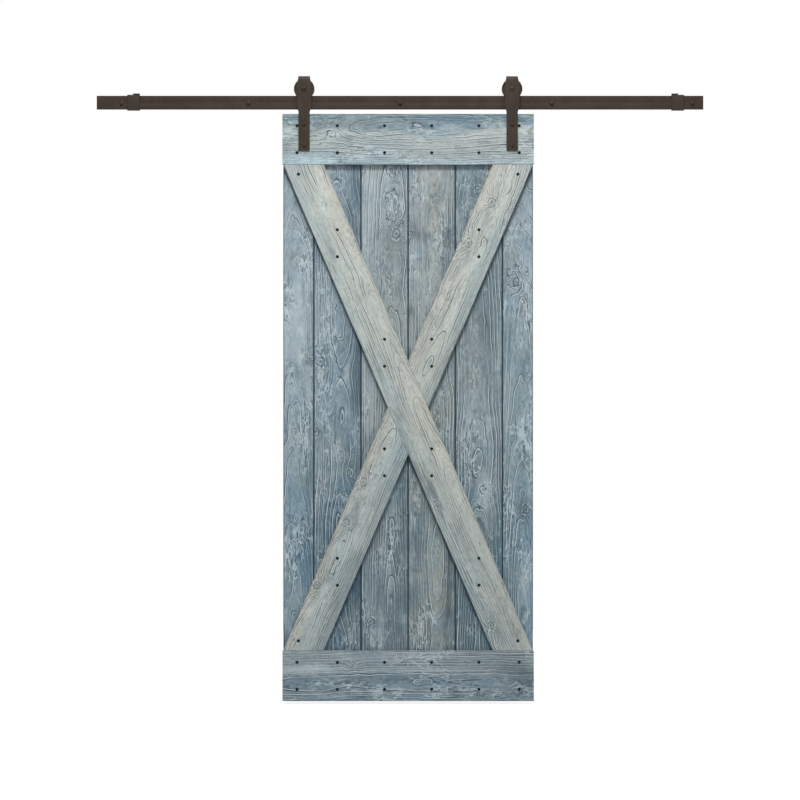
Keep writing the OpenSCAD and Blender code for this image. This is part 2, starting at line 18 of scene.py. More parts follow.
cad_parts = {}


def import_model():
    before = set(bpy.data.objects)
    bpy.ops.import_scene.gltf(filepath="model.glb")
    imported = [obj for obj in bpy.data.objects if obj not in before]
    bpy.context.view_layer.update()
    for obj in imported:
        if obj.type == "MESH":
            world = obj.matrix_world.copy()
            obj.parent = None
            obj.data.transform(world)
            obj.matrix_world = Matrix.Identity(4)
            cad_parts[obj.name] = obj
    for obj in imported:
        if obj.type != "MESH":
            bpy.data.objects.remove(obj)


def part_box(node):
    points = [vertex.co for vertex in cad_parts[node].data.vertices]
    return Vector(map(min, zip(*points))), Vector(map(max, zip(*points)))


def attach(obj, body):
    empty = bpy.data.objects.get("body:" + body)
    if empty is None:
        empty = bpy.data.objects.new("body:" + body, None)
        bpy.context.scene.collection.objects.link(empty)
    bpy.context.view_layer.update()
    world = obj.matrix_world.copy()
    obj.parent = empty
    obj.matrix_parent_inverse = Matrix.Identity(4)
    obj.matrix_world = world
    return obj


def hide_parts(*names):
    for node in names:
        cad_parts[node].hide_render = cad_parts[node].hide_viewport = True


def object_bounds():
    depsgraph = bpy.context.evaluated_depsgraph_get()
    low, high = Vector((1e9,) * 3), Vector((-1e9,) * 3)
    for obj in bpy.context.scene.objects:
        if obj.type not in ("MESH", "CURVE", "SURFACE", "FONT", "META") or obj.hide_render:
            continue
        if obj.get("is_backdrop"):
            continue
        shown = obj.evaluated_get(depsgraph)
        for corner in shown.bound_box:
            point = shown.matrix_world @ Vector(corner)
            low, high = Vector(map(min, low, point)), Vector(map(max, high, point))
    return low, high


logging.basicConfig(level=logging.INFO, format="%(message)s")
LOG = logging.getLogger("barn_door")

Colour = tuple[float, float, float, float]
Stops = tuple[tuple[float, Colour], ...]
Plane = tuple[Vector, Vector]
TINY = 1e-5
WELD = 1e-6
COPLANAR_DEGREES = 0.6
SHARP_DEGREES = 28.0


class Side(Enum):
    """Left or right, as seen from the room."""

    LEFT = "left"
    RIGHT = "right"


class Edge(Enum):
    """How a plank's long edge is worked."""

    PLAIN = "plain"
    TONGUE = "tongue"
    GROOVE = "groove"


def tone(red: int, green: int, blue: int) -> Colour:
    """Turns a display colour of 0 to 255 a channel into a linear one."""
    parts = [channel / 255 for channel in (red, green, blue)]
    linear = [c / 12.92 if c <= 0.04045 else ((c + 0.055) / 1.055) ** 2.4 for c in parts]
    return (*linear, 1.0)


# Painted shade along the boards' long edges, darkest in the seams between planks.
PAINTED_SEAM_SHADE = tone(38, 60, 74)
SEAM_INNER, SEAM_OUTER = 0.0050, 0.0012
IRON_STAIN = tone(14, 17, 20)
IRON_INNER, IRON_OUTER, IRON_DEPTH = 0.0048, 0.0068, 0.94
LINE_WIDE, LINE_SHARE = 0.0034, 0.27


# ---------------------------------------------------------------- node trees


class Net:
    """Adds nodes to one node tree and joins them."""

    def __init__(self, tree: NodeTree) -> None:
        """Keeps the tree that the nodes go into."""
        self.tree = tree

    def add(self, kind: str, **settings: object) -> Node:
        """Adds a node.

        Args:
            kind: the node's type name.
            settings: properties to set on it.

        Returns:
            The new node.
        """
        node = self.tree.nodes.new(kind)
        for key, value in settings.items():
            setattr(node, key, value)
        return node

    def feed(self, socket: NodeSocket, value: object) -> None:
        """Links a socket into another, or sets its plain value."""
        if isinstance(value, NodeSocket):
            self.tree.links.new(value, socket)
        else:
            socket.default_value = value

    def math(self, operation: str, *values: object, clamp: bool = False) -> NodeSocket:
        """Works one sum on numbers or sockets, and returns its socket."""
        node = self.add("ShaderNodeMath", operation=operation, use_clamp=clamp)
        for socket, value in zip(node.inputs, values):
            self.feed(socket, value)
        return node.outputs[0]

    def mix(
        self, factor: object, first: object, second: object, blend: str = "MIX"
    ) -> NodeSocket:
        """Mixes two colours, and returns the colour socket."""
        node = self.add("ShaderNodeMix", data_type="RGBA", blend_type=blend)
        for index, value in ((0, factor), (6, first), (7, second)):
            self.feed(node.inputs[index], value)
        return node.outputs[2]

    def noise(
        self, vector: object, detail: float = 2.0, rough: float = 0.5, scale: float = 1.0
    ) -> NodeSocket:
        """Adds a noise of 0 to 1 over a vector, and returns its value socket."""
        node = self.add("ShaderNodeTexNoise", noise_dimensions="3D")
        self.feed(node.inputs["Vector"], vector)
        node.inputs["Scale"].default_value = scale
        node.inputs["Detail"].default_value = detail
        node.inputs["Roughness"].default_value = rough
        return node.outputs[0]

    def join(self, *values: object) -> NodeSocket:
        """Joins up to three numbers into a vector socket."""
        node = self.add("ShaderNodeCombineXYZ")
        for socket, value in zip(node.inputs, values):
            self.feed(socket, value)
        return node.outputs[0]

    def split(self, vector: NodeSocket) -> tuple[NodeSocket, NodeSocket, NodeSocket]:
        """Splits a vector into its three numbers."""
        node = self.add("ShaderNodeSeparateXYZ")
        self.feed(node.inputs[0], vector)
        return node.outputs[0], node.outputs[1], node.outputs[2]

    def times(self, value: object, factor: object) -> NodeSocket:
        """Multiplies two numbers."""
        return self.math("MULTIPLY", value, factor)

    def step(
        self, value: object, low: float, high: float, start: float = 0.0, end: float = 1.0
    ) -> NodeSocket:
        """Rises smoothly from start to end while value goes from low to high."""
        node = self.add("ShaderNodeMapRange", interpolation_type="SMOOTHSTEP")
        for socket, number in zip(node.inputs, (value, low, high, start, end)):
            self.feed(socket, number)
        return node.outputs[0]

    def band(self, value: NodeSocket, middle: float, half: float) -> NodeSocket:
        """A soft line that is 1 where value is middle, and 0 farther than half from it."""
        away = self.math("ABSOLUTE", self.math("SUBTRACT", value, middle))
        return self.step(away, 0.0, half, 1.0, 0.0)

    def bump(self, height: NodeSocket, strength: float, distance: float) -> NodeSocket:
        """Turns a height into a normal, for a relief of the given distance in metres."""
        node = self.add("ShaderNodeBump")
        node.inputs["Strength"].default_value = strength
        node.inputs["Distance"].default_value = distance
        self.feed(node.inputs["Height"], height)
        return node.outputs[0]

    def ramp(self, factor: NodeSocket, stops: Stops) -> NodeSocket:
        """Turns a number into a colour along a row of stops."""
        node = self.add("ShaderNodeValToRGB")
        node.color_ramp.interpolation = "EASE"
        while len(node.color_ramp.elements) < len(stops):
            node.color_ramp.elements.new(0.5)
        for element, (place, colour) in zip(node.color_ramp.elements, stops):
            element.position = place
            element.color = colour
        self.feed(node.inputs[0], factor)
        return node.outputs[0]


def new_material(name: str) -> tuple[Material, Net, Node]:
    """Starts a material, and returns it with the net over its tree and its shader."""
    material = bpy.data.materials.new(name)
    material.use_nodes = True
    return material, Net(material.node_tree), material.node_tree.nodes["Principled BSDF"]


@dataclass(frozen=True)
class Port:
    """One named socket of a node group."""

    name: str
    kind: str
    output: bool = False


def new_group(name: str, ports: tuple[Port, ...]) -> tuple[Net, Node, Node]:
    """Starts a shader node group with its named sockets.

    Args:
        name: the group's name.
        ports: its sockets, in order.

    Returns:
        The net over its tree, its input node and its output node.
    """
    tree = bpy.data.node_groups.new(name, "ShaderNodeTree")
    for port in ports:
        way = "OUTPUT" if port.output else "INPUT"
        tree.interface.new_socket(port.name, in_out=way, socket_type="NodeSocket" + port.kind)
    net = Net(tree)
    return net, net.add("NodeGroupInput"), net.add("NodeGroupOutput")


@dataclass(frozen=True)
class Weave:
    """A noise over a board: its fineness along and aside, its layer, detail and roughness.

    Aside is across the face or, if by_ring is set, from ring to ring, so that it flows round knots.
    """

    along: float
    aside: float
    layer: float
    detail: float
    rough: float
    by_ring: bool = False


BROAD = Weave(3.4, 7.0, 0.0, 4.0, 0.60)
MIDDLE = Weave(11.0, 24.0, 5.0, 4.0, 0.62)
CLOUD = Weave(7.5, 19.0, 47.0, 4.0, 0.62)
MOTTLE = Weave(42.0, 120.0, 51.0, 4.0, 0.72)
ZONE = Weave(3.0, 9.0, 71.0, 3.0, 0.55)
STREAK = Weave(2.4, 1.9, 11.0, 5.0, 0.72, by_ring=True)
FIBRE = Weave(15.0, 10.0, 17.0, 3.0, 0.60, by_ring=True)
CHECK = Weave(3.4, 3.3, 91.0, 2.0, 0.50, by_ring=True)
GRIT = Weave(58.0, 170.0, 23.0, 3.0, 0.65)
SPREAD = Weave(5.0, 11.0, 31.0, 3.0, 0.60)
WORM = Weave(21.0, 62.0, 97.0, 2.0, 0.50)
SMEAR = Weave(2.6, 9.0, 41.0, 4.0, 0.66)
RAGGED = Weave(70.0, 90.0, 83.0, 2.0, 0.60)


class BrushedPine:
    """Builds the grain that all boards share: rings with painted highlights and shadows, fibres,
    flecks, pores, patches and knots.

    The group's Grain input is (along, across, ring number). Its Figure input is (1 in a knot's
    heart, darkness of the stain and of the painted shadow below the rail and braces, which is below
    0 where it is pale, rings in each metre of the face). Its Iron input points to the nearest
    screw, round which the wood is black.
    """

    def __init__(self) -> None:
        """Starts the group and splits its inputs."""
        colours = ("Base", "Warm", "Cool", "Pale", "Dark")
        amounts = ("Seed", "Ring", "Patch", "Fleck")
        self.net, given, self.out = new_group(
            "brushed_pine",
            (
                *(Port(name, "Color") for name in colours),
                *(Port(name, "Vector") for name in ("Grain", "Figure", "Iron")),
                *(Port(name, "Float") for name in amounts),
                Port("Color", "Color", True),
                Port("Roughness", "Float", True),
                Port("Height", "Float", True),
            ),
        )
        self.port = given.outputs
        self.along, self.across, self.rings = self.net.split(self.port["Grain"])
        self.knot, self.smudge, self.density = self.net.split(self.port["Figure"])
        self.colour = self.port["Base"]

    def weave(self, weave: Weave) -> NodeSocket:
        """Adds one noise over the board, and returns its value."""
        net, side = self.net, self.rings if weave.by_ring else self.across
        layer = net.math("ADD", self.port["Seed"], weave.layer)
        where = net.join(net.times(self.along, weave.along), net.times(side, weave.aside), layer)
        return net.noise(where, weave.detail, weave.rough)

    def tint(self, factor: object, stain: str) -> None:
        """Mixes one of the group's stains over the colour so far."""
        self.colour = self.net.mix(factor, self.colour, self.port[stain])

    def vary(
        self,
        noise: NodeSocket,
        pale: tuple[float, float, float],
        dark: tuple[float, float, float],
    ) -> None:
        """Pales the colour where a noise is high and darkens it where the noise is low.

        Args:
            noise: a number of 0 to 1.
            pale: where the pale stain starts, where it is full, and how strong it then is.
            dark: the same for the dark stain.
        """
        for stain, (start, full, most) in (("Pale", pale), ("Dark", dark)):
            self.tint(self.net.step(noise, start, full, 0.0, most), stain)

    def patches(self) -> NodeSocket:
        """Lays the broad patches of stain, and returns the cloud that breaks up the smudges."""
        net, patch = self.net, self.port["Patch"]
        self.tint(net.times(net.step(self.weave(BROAD), 0.44, 0.58), patch), "Warm")
        self.tint(net.times(net.step(self.weave(MIDDLE), 0.49, 0.63), patch), "Cool")
        cloud = self.weave(CLOUD)
        self.vary(cloud, (0.52, 0.70, 0.42), (0.48, 0.30, 0.50))
        self.vary(self.weave(MOTTLE), (0.51, 0.68, 0.30), (0.49, 0.32, 0.34))
        return cloud

    def strength(self) -> NodeSocket:
        """How strongly each ring shows: some are faint, and all fade in places."""
        net = self.net
        which = net.times(net.math("FLOOR", self.rings), 3.7)
        layer = net.math("ADD", self.port["Seed"], 9.0)
        each = net.noise(net.join(which, net.times(self.along, 4.5), layer), 2.0, 0.6)
        zone = net.step(self.weave(ZONE), 0.38, 0.56, 0.35, 1.15)
        return net.times(net.times(net.step(each, 0.34, 0.56, 0.20, 1.0), zone), self.port["Ring"])

    def lines(self) -> tuple[NodeSocket, NodeSocket, NodeSocket]:
        """Finds each ring's pale ridge, dark crease and dark lip, whose width is real.
        The ridge is partly worn pale wood and partly a painted highlight; the crease and lip are
        partly stain in the grooves and partly a painted shadow beside the ridge.
        """
        net, strength = self.net, self.strength()
        fold = net.math("SUBTRACT", net.math("FRACT", self.rings), 0.5)
        share = net.math("DIVIDE", LINE_SHARE, self.density)
        unit = net.math("MINIMUM", LINE_WIDE, share)
        place = net.math("DIVIDE", fold, net.times(self.density, unit))
        ridge = net.times(net.band(place, 0.0, 0.80), strength)
        crease = net.times(net.band(place, 0.95, 0.85), strength)
        lip = net.times(net.band(place, -0.95, 0.60), net.times(strength, 0.55))
        return ridge, crease, lip

    def flecks(self) -> tuple[NodeSocket, NodeSocket]:
        """Scatters pale flecks, wriggles and pores, and returns the flecks and the pores."""
        net, amount = self.net, self.port["Fleck"]
        grit = self.weave(GRIT)
        spread = net.step(self.weave(SPREAD), 0.46, 0.62)
        fleck = net.times(net.step(grit, 0.55, 0.66), net.times(spread, amount))
        self.tint(net.times(fleck, 0.80), "Pale")
        worm = self.weave(WORM)
        wriggle = net.times(net.step(spread, 0.0, 1.0, 0.10, 0.85), amount)
        self.tint(net.times(net.band(worm, 0.57, 0.045), wriggle), "Dark")
        self.tint(net.times(net.band(worm, 0.50, 0.060), wriggle), "Pale")
        pore = net.times(net.step(grit, 0.45, 0.31), net.step(spread, 0.0, 1.0, 0.35, 0.12))
        self.tint(pore, "Dark")
        return fleck, pore

    def stains_and_shadows(self, cloud: NodeSocket) -> None:
        """Smears the stain, and lays the board's own smudges and the painted shadow below the rail
        and braces, broken up by a cloud.
        """
        net = self.net
        self.tint(net.step(self.weave(SMEAR), 0.58, 0.72, 0.0, 0.62), "Dark")
        # The smudges together with the painted shadow below the rail and braces; pale where below
        # 0.
        stain = net.times(self.smudge, net.step(cloud, 0.25, 0.75, 1.25, 0.75))
        bleach = net.times(stain, -1.0)
        self.tint(net.math("MAXIMUM", stain, 0.0, clamp=True), "Dark")
        self.tint(net.math("MAXIMUM", bleach, 0.0, clamp=True), "Pale")

    def knots(self) -> NodeSocket:
        """Draws the knots' ragged rings from the outside in, and returns their dark rims."""
        net = self.net
        ragged = net.step(self.weave(RAGGED), 0.40, 0.58)

        def torn(shape: NodeSocket, least: float, most: float) -> NodeSocket:
            """Breaks up a ring of the knot between two strengths."""
            return net.times(shape, net.step(ragged, 0.0, 1.0, least, most))

        heart = torn(net.step(self.knot, 0.82, 0.95), 0.65, 1.0)
        collar = torn(net.band(self.knot, 0.73, 0.10), 0.20, 1.0)
        rim = torn(net.band(self.knot, 0.56, 0.13), 0.25, 1.0)
        halo = torn(net.band(self.knot, 0.36, 0.12), 1.0, 0.1)
        self.tint(net.times(halo, 0.75), "Pale")
        self.tint(net.times(collar, 0.60), "Pale")
        self.tint(net.times(rim, 0.88), "Dark")
        self.tint(net.times(heart, 0.90), "Dark")
        return rim

    def iron(self) -> None:
        """Blackens the wood round each screw."""
        net = self.net
        reach = net.add("ShaderNodeVectorMath", operation="LENGTH")
        net.feed(reach.inputs[0], self.port["Iron"])
        black = net.step(reach.outputs["Value"], IRON_INNER, IRON_OUTER, IRON_DEPTH, 0.0)
        self.colour = net.mix(black, self.colour, IRON_STAIN)

    def build(self) -> NodeTree:
        """Makes the group.

        Returns:
            Its tree, with Color, Roughness and Height out.
        """
        net = self.net
        cloud = self.patches()
        ridge, crease, lip = self.lines()
        streak, fibre = self.weave(STREAK), self.weave(FIBRE)
        self.vary(streak, (0.52, 0.70, 0.40), (0.48, 0.30, 0.46))
        self.vary(fibre, (0.55, 0.75, 0.22), (0.45, 0.27, 0.28))
        self.tint(net.step(self.weave(CHECK), 0.62, 0.68, 0.0, 0.62), "Dark")
        # Painted shadow beside each ridge and a painted highlight on it, mixed with the real stain
        # and wear of the brushed grain.
        self.tint(crease, "Dark")
        self.tint(lip, "Dark")
        self.tint(net.times(ridge, 1.05), "Pale")
        fleck, pore = self.flecks()
        self.stains_and_shadows(cloud)
        rim = self.knots()
        self.iron()

        gloss = net.math("ADD", net.step(streak, 0.30, 0.72), net.times(fibre, 0.4))
        height = net.times(ridge, 0.55)
        for layer, share in (
            (crease, -0.60),
            (lip, -0.30),
            (fibre, 0.42),
            (streak, 0.36),
            (fleck, 0.16),
            (pore, -0.50),
            (rim, -0.35),
        ):
            height = net.math("ADD", height, net.times(layer, share))
        net.feed(self.out.inputs["Color"], self.colour)
        net.feed(self.out.inputs["Roughness"], net.step(gloss, 0.2, 1.2, 0.70, 0.56))
        net.feed(self.out.inputs["Height"], height)
        return net.tree


def worn_skin_group() -> NodeTree:
    """Makes the fine texture that coated and plated parts share.

    Returns:
        The group, with a Vector and a Size in, and Tone, Speck and Height out.
    """
    net, given, out = new_group(
        "worn_skin",
        (
            Port("Vector", "Vector"),
            Port("Size", "Float"),
            Port("Tone", "Float", True),
            Port("Speck", "Float", True),
            Port("Height", "Float", True),
        ),
    )
    where = net.add("ShaderNodeVectorMath", operation="SCALE")
    net.feed(where.inputs[0], given.outputs["Vector"])
    net.feed(where.inputs[3], given.outputs["Size"])
    pebble = net.noise(where.outputs[0], 3.0, 0.55, 1.0)
    cloud = net.noise(given.outputs["Vector"], 4.0, 0.6, 14.0)
    rare = net.noise(given.outputs["Vector"], 1.0, 0.5, 330.0)
    net.feed(out.inputs["Tone"], net.math("ADD", net.times(cloud, 0.7), net.times(pebble, 0.3)))
    net.feed(out.inputs["Speck"], net.step(rare, 0.66, 0.74))
    net.feed(out.inputs["Height"], net.step(pebble, 0.25, 0.75))
    return net.tree


# ---------------------------------------------------------------- finishes


@dataclass(frozen=True)
class PineFinish:
    """A stained board: its colours across and along, how strongly its grain shows, and the painted
    shade along its edges.
    """

    name: str
    across: Stops
    along: Stops
    warm: Colour = tone(150, 157, 150)
    cool: Colour = tone(94, 130, 150)
    pale: Colour = tone(205, 219, 223)
    dark: Colour = tone(44, 66, 80)
    ring: float = 0.9
    patch: float = 0.55
    fleck: float = 0.7
    seam_shade: float = 0.20
    bump: float = 0.0013

    def build(self, group: NodeTree, width: float, length: float, seed: float) -> Material:
        """Makes the face material of one board.

        Args:
            group: the shared grain group.
            width: the board's width.
            length: its length.
            seed: a number that makes its patches its own.

        Returns:
            The material.
        """
        material, net, shader = new_material(self.name)
        grain, figure, iron = (
            net.add("ShaderNodeAttribute", attribute_name=name).outputs["Vector"]
            for name in ("grain", "figure", "iron")
        )
        along, across, _ = net.split(grain)
        where = net.join(net.times(along, 3.0), net.times(across, 9.0), seed + 60.0)
        sway = net.noise(where, 4.0, 0.6)
        side = net.math("DIVIDE", across, width)
        side = net.math("ADD", side, net.step(sway, 0.3, 0.7, 0.34, 0.66))
        reach = net.math("DIVIDE", along, length)
        reach = net.math("ADD", reach, net.step(sway, 0.3, 0.7, 0.44, 0.56))
        base = net.mix(1.0, net.ramp(side, self.across), net.ramp(reach, self.along), "MULTIPLY")
        pine = net.add("ShaderNodeGroup", node_tree=group)
        for name, value in (
            ("Base", base),
            ("Warm", net.mix(0.6, base, self.warm)),
            ("Cool", net.mix(0.6, base, self.cool)),
            ("Pale", net.mix(0.80, base, self.pale)),
            ("Dark", net.mix(0.86, base, self.dark)),
            ("Grain", grain),
            ("Figure", figure),
            ("Iron", iron),
            ("Seed", seed),
            ("Ring", self.ring),
            ("Patch", self.patch),
            ("Fleck", self.fleck),
        ):
            net.feed(pine.inputs[name], value)
        out, half = net.math("ABSOLUTE", across), width / 2
        # Painted shade along the board's long edges, strongest in the seams between planks.
        rim = net.step(out, half - SEAM_INNER, half - SEAM_OUTER, 0.0, self.seam_shade)
        net.feed(shader.inputs["Base Color"], net.mix(rim, pine.outputs["Color"], PAINTED_SEAM_SHADE))
        net.feed(shader.inputs["Roughness"], pine.outputs["Roughness"])
        net.feed(shader.inputs["Normal"], net.bump(pine.outputs["Height"], 1.0, self.bump))
        shader.inputs["Specular IOR Level"].default_value = 0.35
        return material


@dataclass(frozen=True)
class EndGrainFinish:
    """The sawn ends of the boards, where the rings show as arcs."""

    light: Colour = tone(150, 158, 158)
    dark: Colour = tone(84, 98, 104)
    bump: float = 0.0008

    def build(self) -> Material:
        """Makes the material of all sawn ends."""
        material, net, shader = new_material("sawn_end")
        where = net.add("ShaderNodeTexCoord").outputs["Object"]
        across, depth, height = net.split(where)
        drift = net.noise(where, 3.0, 0.6, 14.0)
        span = net.math("ADD", across, net.times(height, 0.35))
        arc = net.math("POWER", net.math("SINE", net.times(span, 24.0)), 2.0)
        rings = net.math("ADD", net.times(depth, 210.0), net.times(arc, 3.4))
        rings = net.math("FRACT", net.math("ADD", rings, net.times(drift, 2.6)))
        fuzz = net.noise(where, 4.0, 0.7, 620.0)
        colour = net.mix(net.band(rings, 0.6, 0.3), self.light, self.dark)
        colour = net.mix(net.step(fuzz, 0.42, 0.6, 0.0, 0.5), colour, self.dark)
        height = net.math("SUBTRACT", fuzz, net.times(rings, 0.3))
        net.feed(shader.inputs["Base Color"], colour)
        net.feed(shader.inputs["Roughness"], net.step(fuzz, 0.3, 0.7, 0.72, 0.9))
        net.feed(shader.inputs["Normal"], net.bump(height, 0.6, self.bump))
        return material


@dataclass(frozen=True)
class SkinFinish:
    """A metal or rubber part's surface: its colour, its gloss and its fine texture."""

    name: str
    colour: Colour
    second: Colour
    rubbed: Colour
    rough: tuple[float, float]
    metal: float = 0.0
    pebble: float = 900.0
    relief: float = 0.00012
    gloss: float = 0.5

    def build(self, group: NodeTree) -> Material:
        """Makes the material.

        Args:
            group: the shared fine texture.

        Returns:
            The material, which shows the rubbed colour where a piece's "rub" attribute is 1.
        """
        material, net, shader = new_material(self.name)
        where = net.add("ShaderNodeTexCoord").outputs["Object"]
        skin = net.add("ShaderNodeGroup", node_tree=group)
        net.feed(skin.inputs["Vector"], where)
        net.feed(skin.inputs["Size"], self.pebble)
        rub = net.add("ShaderNodeAttribute", attribute_name="rub").outputs["Fac"]
        shade = skin.outputs["Tone"]
        worn = net.times(rub, net.step(shade, 0.40, 0.56))
        colour = net.mix(net.step(shade, 0.40, 0.62), self.colour, self.second)
        colour = net.mix(net.times(skin.outputs["Speck"], 0.35), colour, self.rubbed)
        colour = net.mix(net.times(worn, 0.8), colour, self.rubbed)
        net.feed(shader.inputs["Base Color"], colour)
        net.feed(shader.inputs["Roughness"], net.step(shade, 0.35, 0.65, *self.rough))
        net.feed(shader.inputs["Normal"], net.bump(skin.outputs["Height"], 0.7, self.relief))
        shader.inputs["Metallic"].default_value = self.metal
        shader.inputs["Specular IOR Level"].default_value = self.gloss
        return material


# ---------------------------------------------------------------- grain


HASH_X, HASH_Y, HASH_SEED, HASH_MIX = 374761393, 668265263, 974634777, 1274126177
LOW_32, LOW_16 = 0xFFFFFFFF, 0xFFFF
RINGS_PER_METRE = (12.0, 2000.0)
WORN_LEAST, WORN_MORE = 0.00012, 0.00034


def lattice_noise(x: np.ndarray, y: np.ndarray, seed: int) -> np.ndarray:
    """Smooth noise of -1 to 1 over two numbers, the same on every run.

    Args:
        x: first number of each place.
        y: second number.
        seed: picks the pattern.

    Returns:
        The noise at each place.
    """
    x, y = np.broadcast_arrays(np.asarray(x, float), np.asarray(y, float))
    left, low = np.floor(x).astype(np.int64), np.floor(y).astype(np.int64)
    fx, fy = x - left, y - low
    fx, fy = fx**3 * (fx * (fx * 6 - 15) + 10), fy**3 * (fy * (fy * 6 - 15) + 10)

    def corner(dx: int, dy: int) -> np.ndarray:
        """The lattice's own number at one corner of each place's cell."""
        mixed = (left + dx) * HASH_X + (low + dy) * HASH_Y + seed * HASH_SEED
        mixed = (mixed ^ (mixed >> 13)) & LOW_32
        mixed = (mixed * HASH_MIX) & LOW_32
        return ((mixed ^ (mixed >> 16)) & LOW_16) / (LOW_16 / 2) - 1

    bottom = corner(0, 0) * (1 - fx) + corner(1, 0) * fx
    top = corner(0, 1) * (1 - fx) + corner(1, 1) * fx
    return bottom * (1 - fy) + top * fy


@dataclass(frozen=True)
class Knot:
    """A knot on a board's face: how far along and across it sits from the board's middle."""

    along: float
    across: float
    radius: float
    lift: float


@dataclass(frozen=True)
class Smudge:
    """A soft patch in a board's stain: its middle, its half sizes and its depth, pale below 0."""

    along: float
    across: float
    long: float
    wide: float
    depth: float


@dataclass(frozen=True)
class Grain:
    """How a board was sawn from its log, and where its stain took unevenly."""

    seed: int
    pith: float = 0.0
    depth: float = 0.070
    slope: float = 0.020
    spacing: float = 0.0068
    wander: float = 0.010
    swell: float = 0.012
    knots: tuple[Knot, ...] = ()
    smudges: tuple[Smudge, ...] = ()

    def rings(self, along: np.ndarray, across: np.ndarray, back: np.ndarray) -> np.ndarray:
        """Ring number at each place in the board.

        Args:
            along: distance along the board from its middle.
            across: distance across it from its middle.
            back: distance behind its face.

        Returns:
            The ring number, whole at each ring's start.
        """
        wander = lattice_noise(along / 0.55, 0.5, self.seed)
        wander = wander + 0.4 * lattice_noise(along / 0.17, 2.5, self.seed)
        swell = lattice_noise(along / 0.42, 4.5, self.seed)
        swell = swell + 0.45 * lattice_noise(along / 0.14, 6.5, self.seed)
        side = across - self.pith - self.wander * wander
        deep = self.depth + self.slope * along + self.swell * swell + back
        reach = np.hypot(side, deep)
        reach += 0.0022 * lattice_noise(along / 0.11, across / 0.030, self.seed + 1)
        reach += 0.0009 * lattice_noise(along / 0.035, across / 0.011, self.seed + 2)
        number = reach / self.spacing
        number += 0.45 * lattice_noise(number / 1.9, along / 1.3, self.seed + 3)
        for knot in self.knots:
            far = np.hypot((along - knot.along) / 1.75, across - knot.across) / knot.radius
            far *= 1 + 0.22 * lattice_noise(along / 0.012, across / 0.009, self.seed + 6)
            number += knot.lift * np.exp(-((far / 1.7) ** 1.25))
        return number

    def stain(self, along: np.ndarray, across: np.ndarray) -> np.ndarray:
        """How dark each place is stained by the board's smudges, below 0 where it is pale."""
        total = np.zeros_like(along)
        for smudge in self.smudges:
            aside = (across - smudge.across) / smudge.wide
            far = np.hypot((along - smudge.along) / smudge.long, aside)
            far *= 1 + 0.35 * lattice_noise(along / 0.030, across / 0.012, self.seed + 7)
            total += smudge.depth * np.exp(-(far**2.4))
        return total

    def density(self, along: np.ndarray, across: np.ndarray, back: np.ndarray) -> np.ndarray:
        """How many rings cross each metre of the face at each place."""
        hop = 0.0012
        up = self.rings(along + hop, across, back) - self.rings(along - hop, across, back)
        side = self.rings(along, across + hop, back) - self.rings(along, across - hop, back)
        return np.clip(np.hypot(up, side) / (2 * hop), *RINGS_PER_METRE)

    def knot_mask(self, along: np.ndarray, across: np.ndarray) -> np.ndarray:
        """1 in the heart of a knot, falling to 0 at twice its radius."""
        mask = np.zeros_like(along)
        for knot in self.knots:
            far = np.hypot((along - knot.along) / 1.25, across - knot.across) / knot.radius
            far *= 1 + 0.30 * lattice_noise(along / 0.008, across / 0.007, self.seed + 4)
            mask = np.maximum(mask, np.clip(1 - far / 2, 0, 1))
        return mask

    def relief(self, along: np.ndarray, across: np.ndarray, back: np.ndarray) -> np.ndarray:
        """How deep the brush has worn the face at each place, in metres."""
        fold = self.rings(along, across, back) % 1.0
        ridge = np.clip(1 - np.abs(fold - 0.56) / 0.34, 0, 1)
        ridge = ridge * ridge * (3 - 2 * ridge)
        patch = 0.5 + 0.5 * lattice_noise(along / 0.13, across / 0.035, self.seed + 5)
        knot = self.knot_mask(along, across)
        return (WORN_MORE * (1 - ridge) * (0.35 + 0.65 * patch)) * (1 - knot) + WORN_LEAST


# ---------------------------------------------------------------- mesh helpers


def to_piece(
    name: str, shell: bmesh.types.BMesh, materials: list[Material], crease: float = 32.0
) -> Object:
    """Makes a shaded object at the origin from a bmesh, and frees the bmesh.

    Args:
        name: the piece's name.
        shell: its shape, in place.
        materials: its materials, in slot order.
        crease: the angle in degrees past which an edge stays sharp.

    Returns:
        The object, linked to the scene.
    """
    mesh = bpy.data.meshes.new(name)
    shell.to_mesh(mesh)
    shell.free()
    for material in materials:
        mesh.materials.append(material)
    mesh.shade_smooth()
    mesh.set_sharp_from_angle(angle=math.radians(crease))
    piece = bpy.data.objects.new(name, mesh)
    bpy.context.scene.collection.objects.link(piece)
    return piece


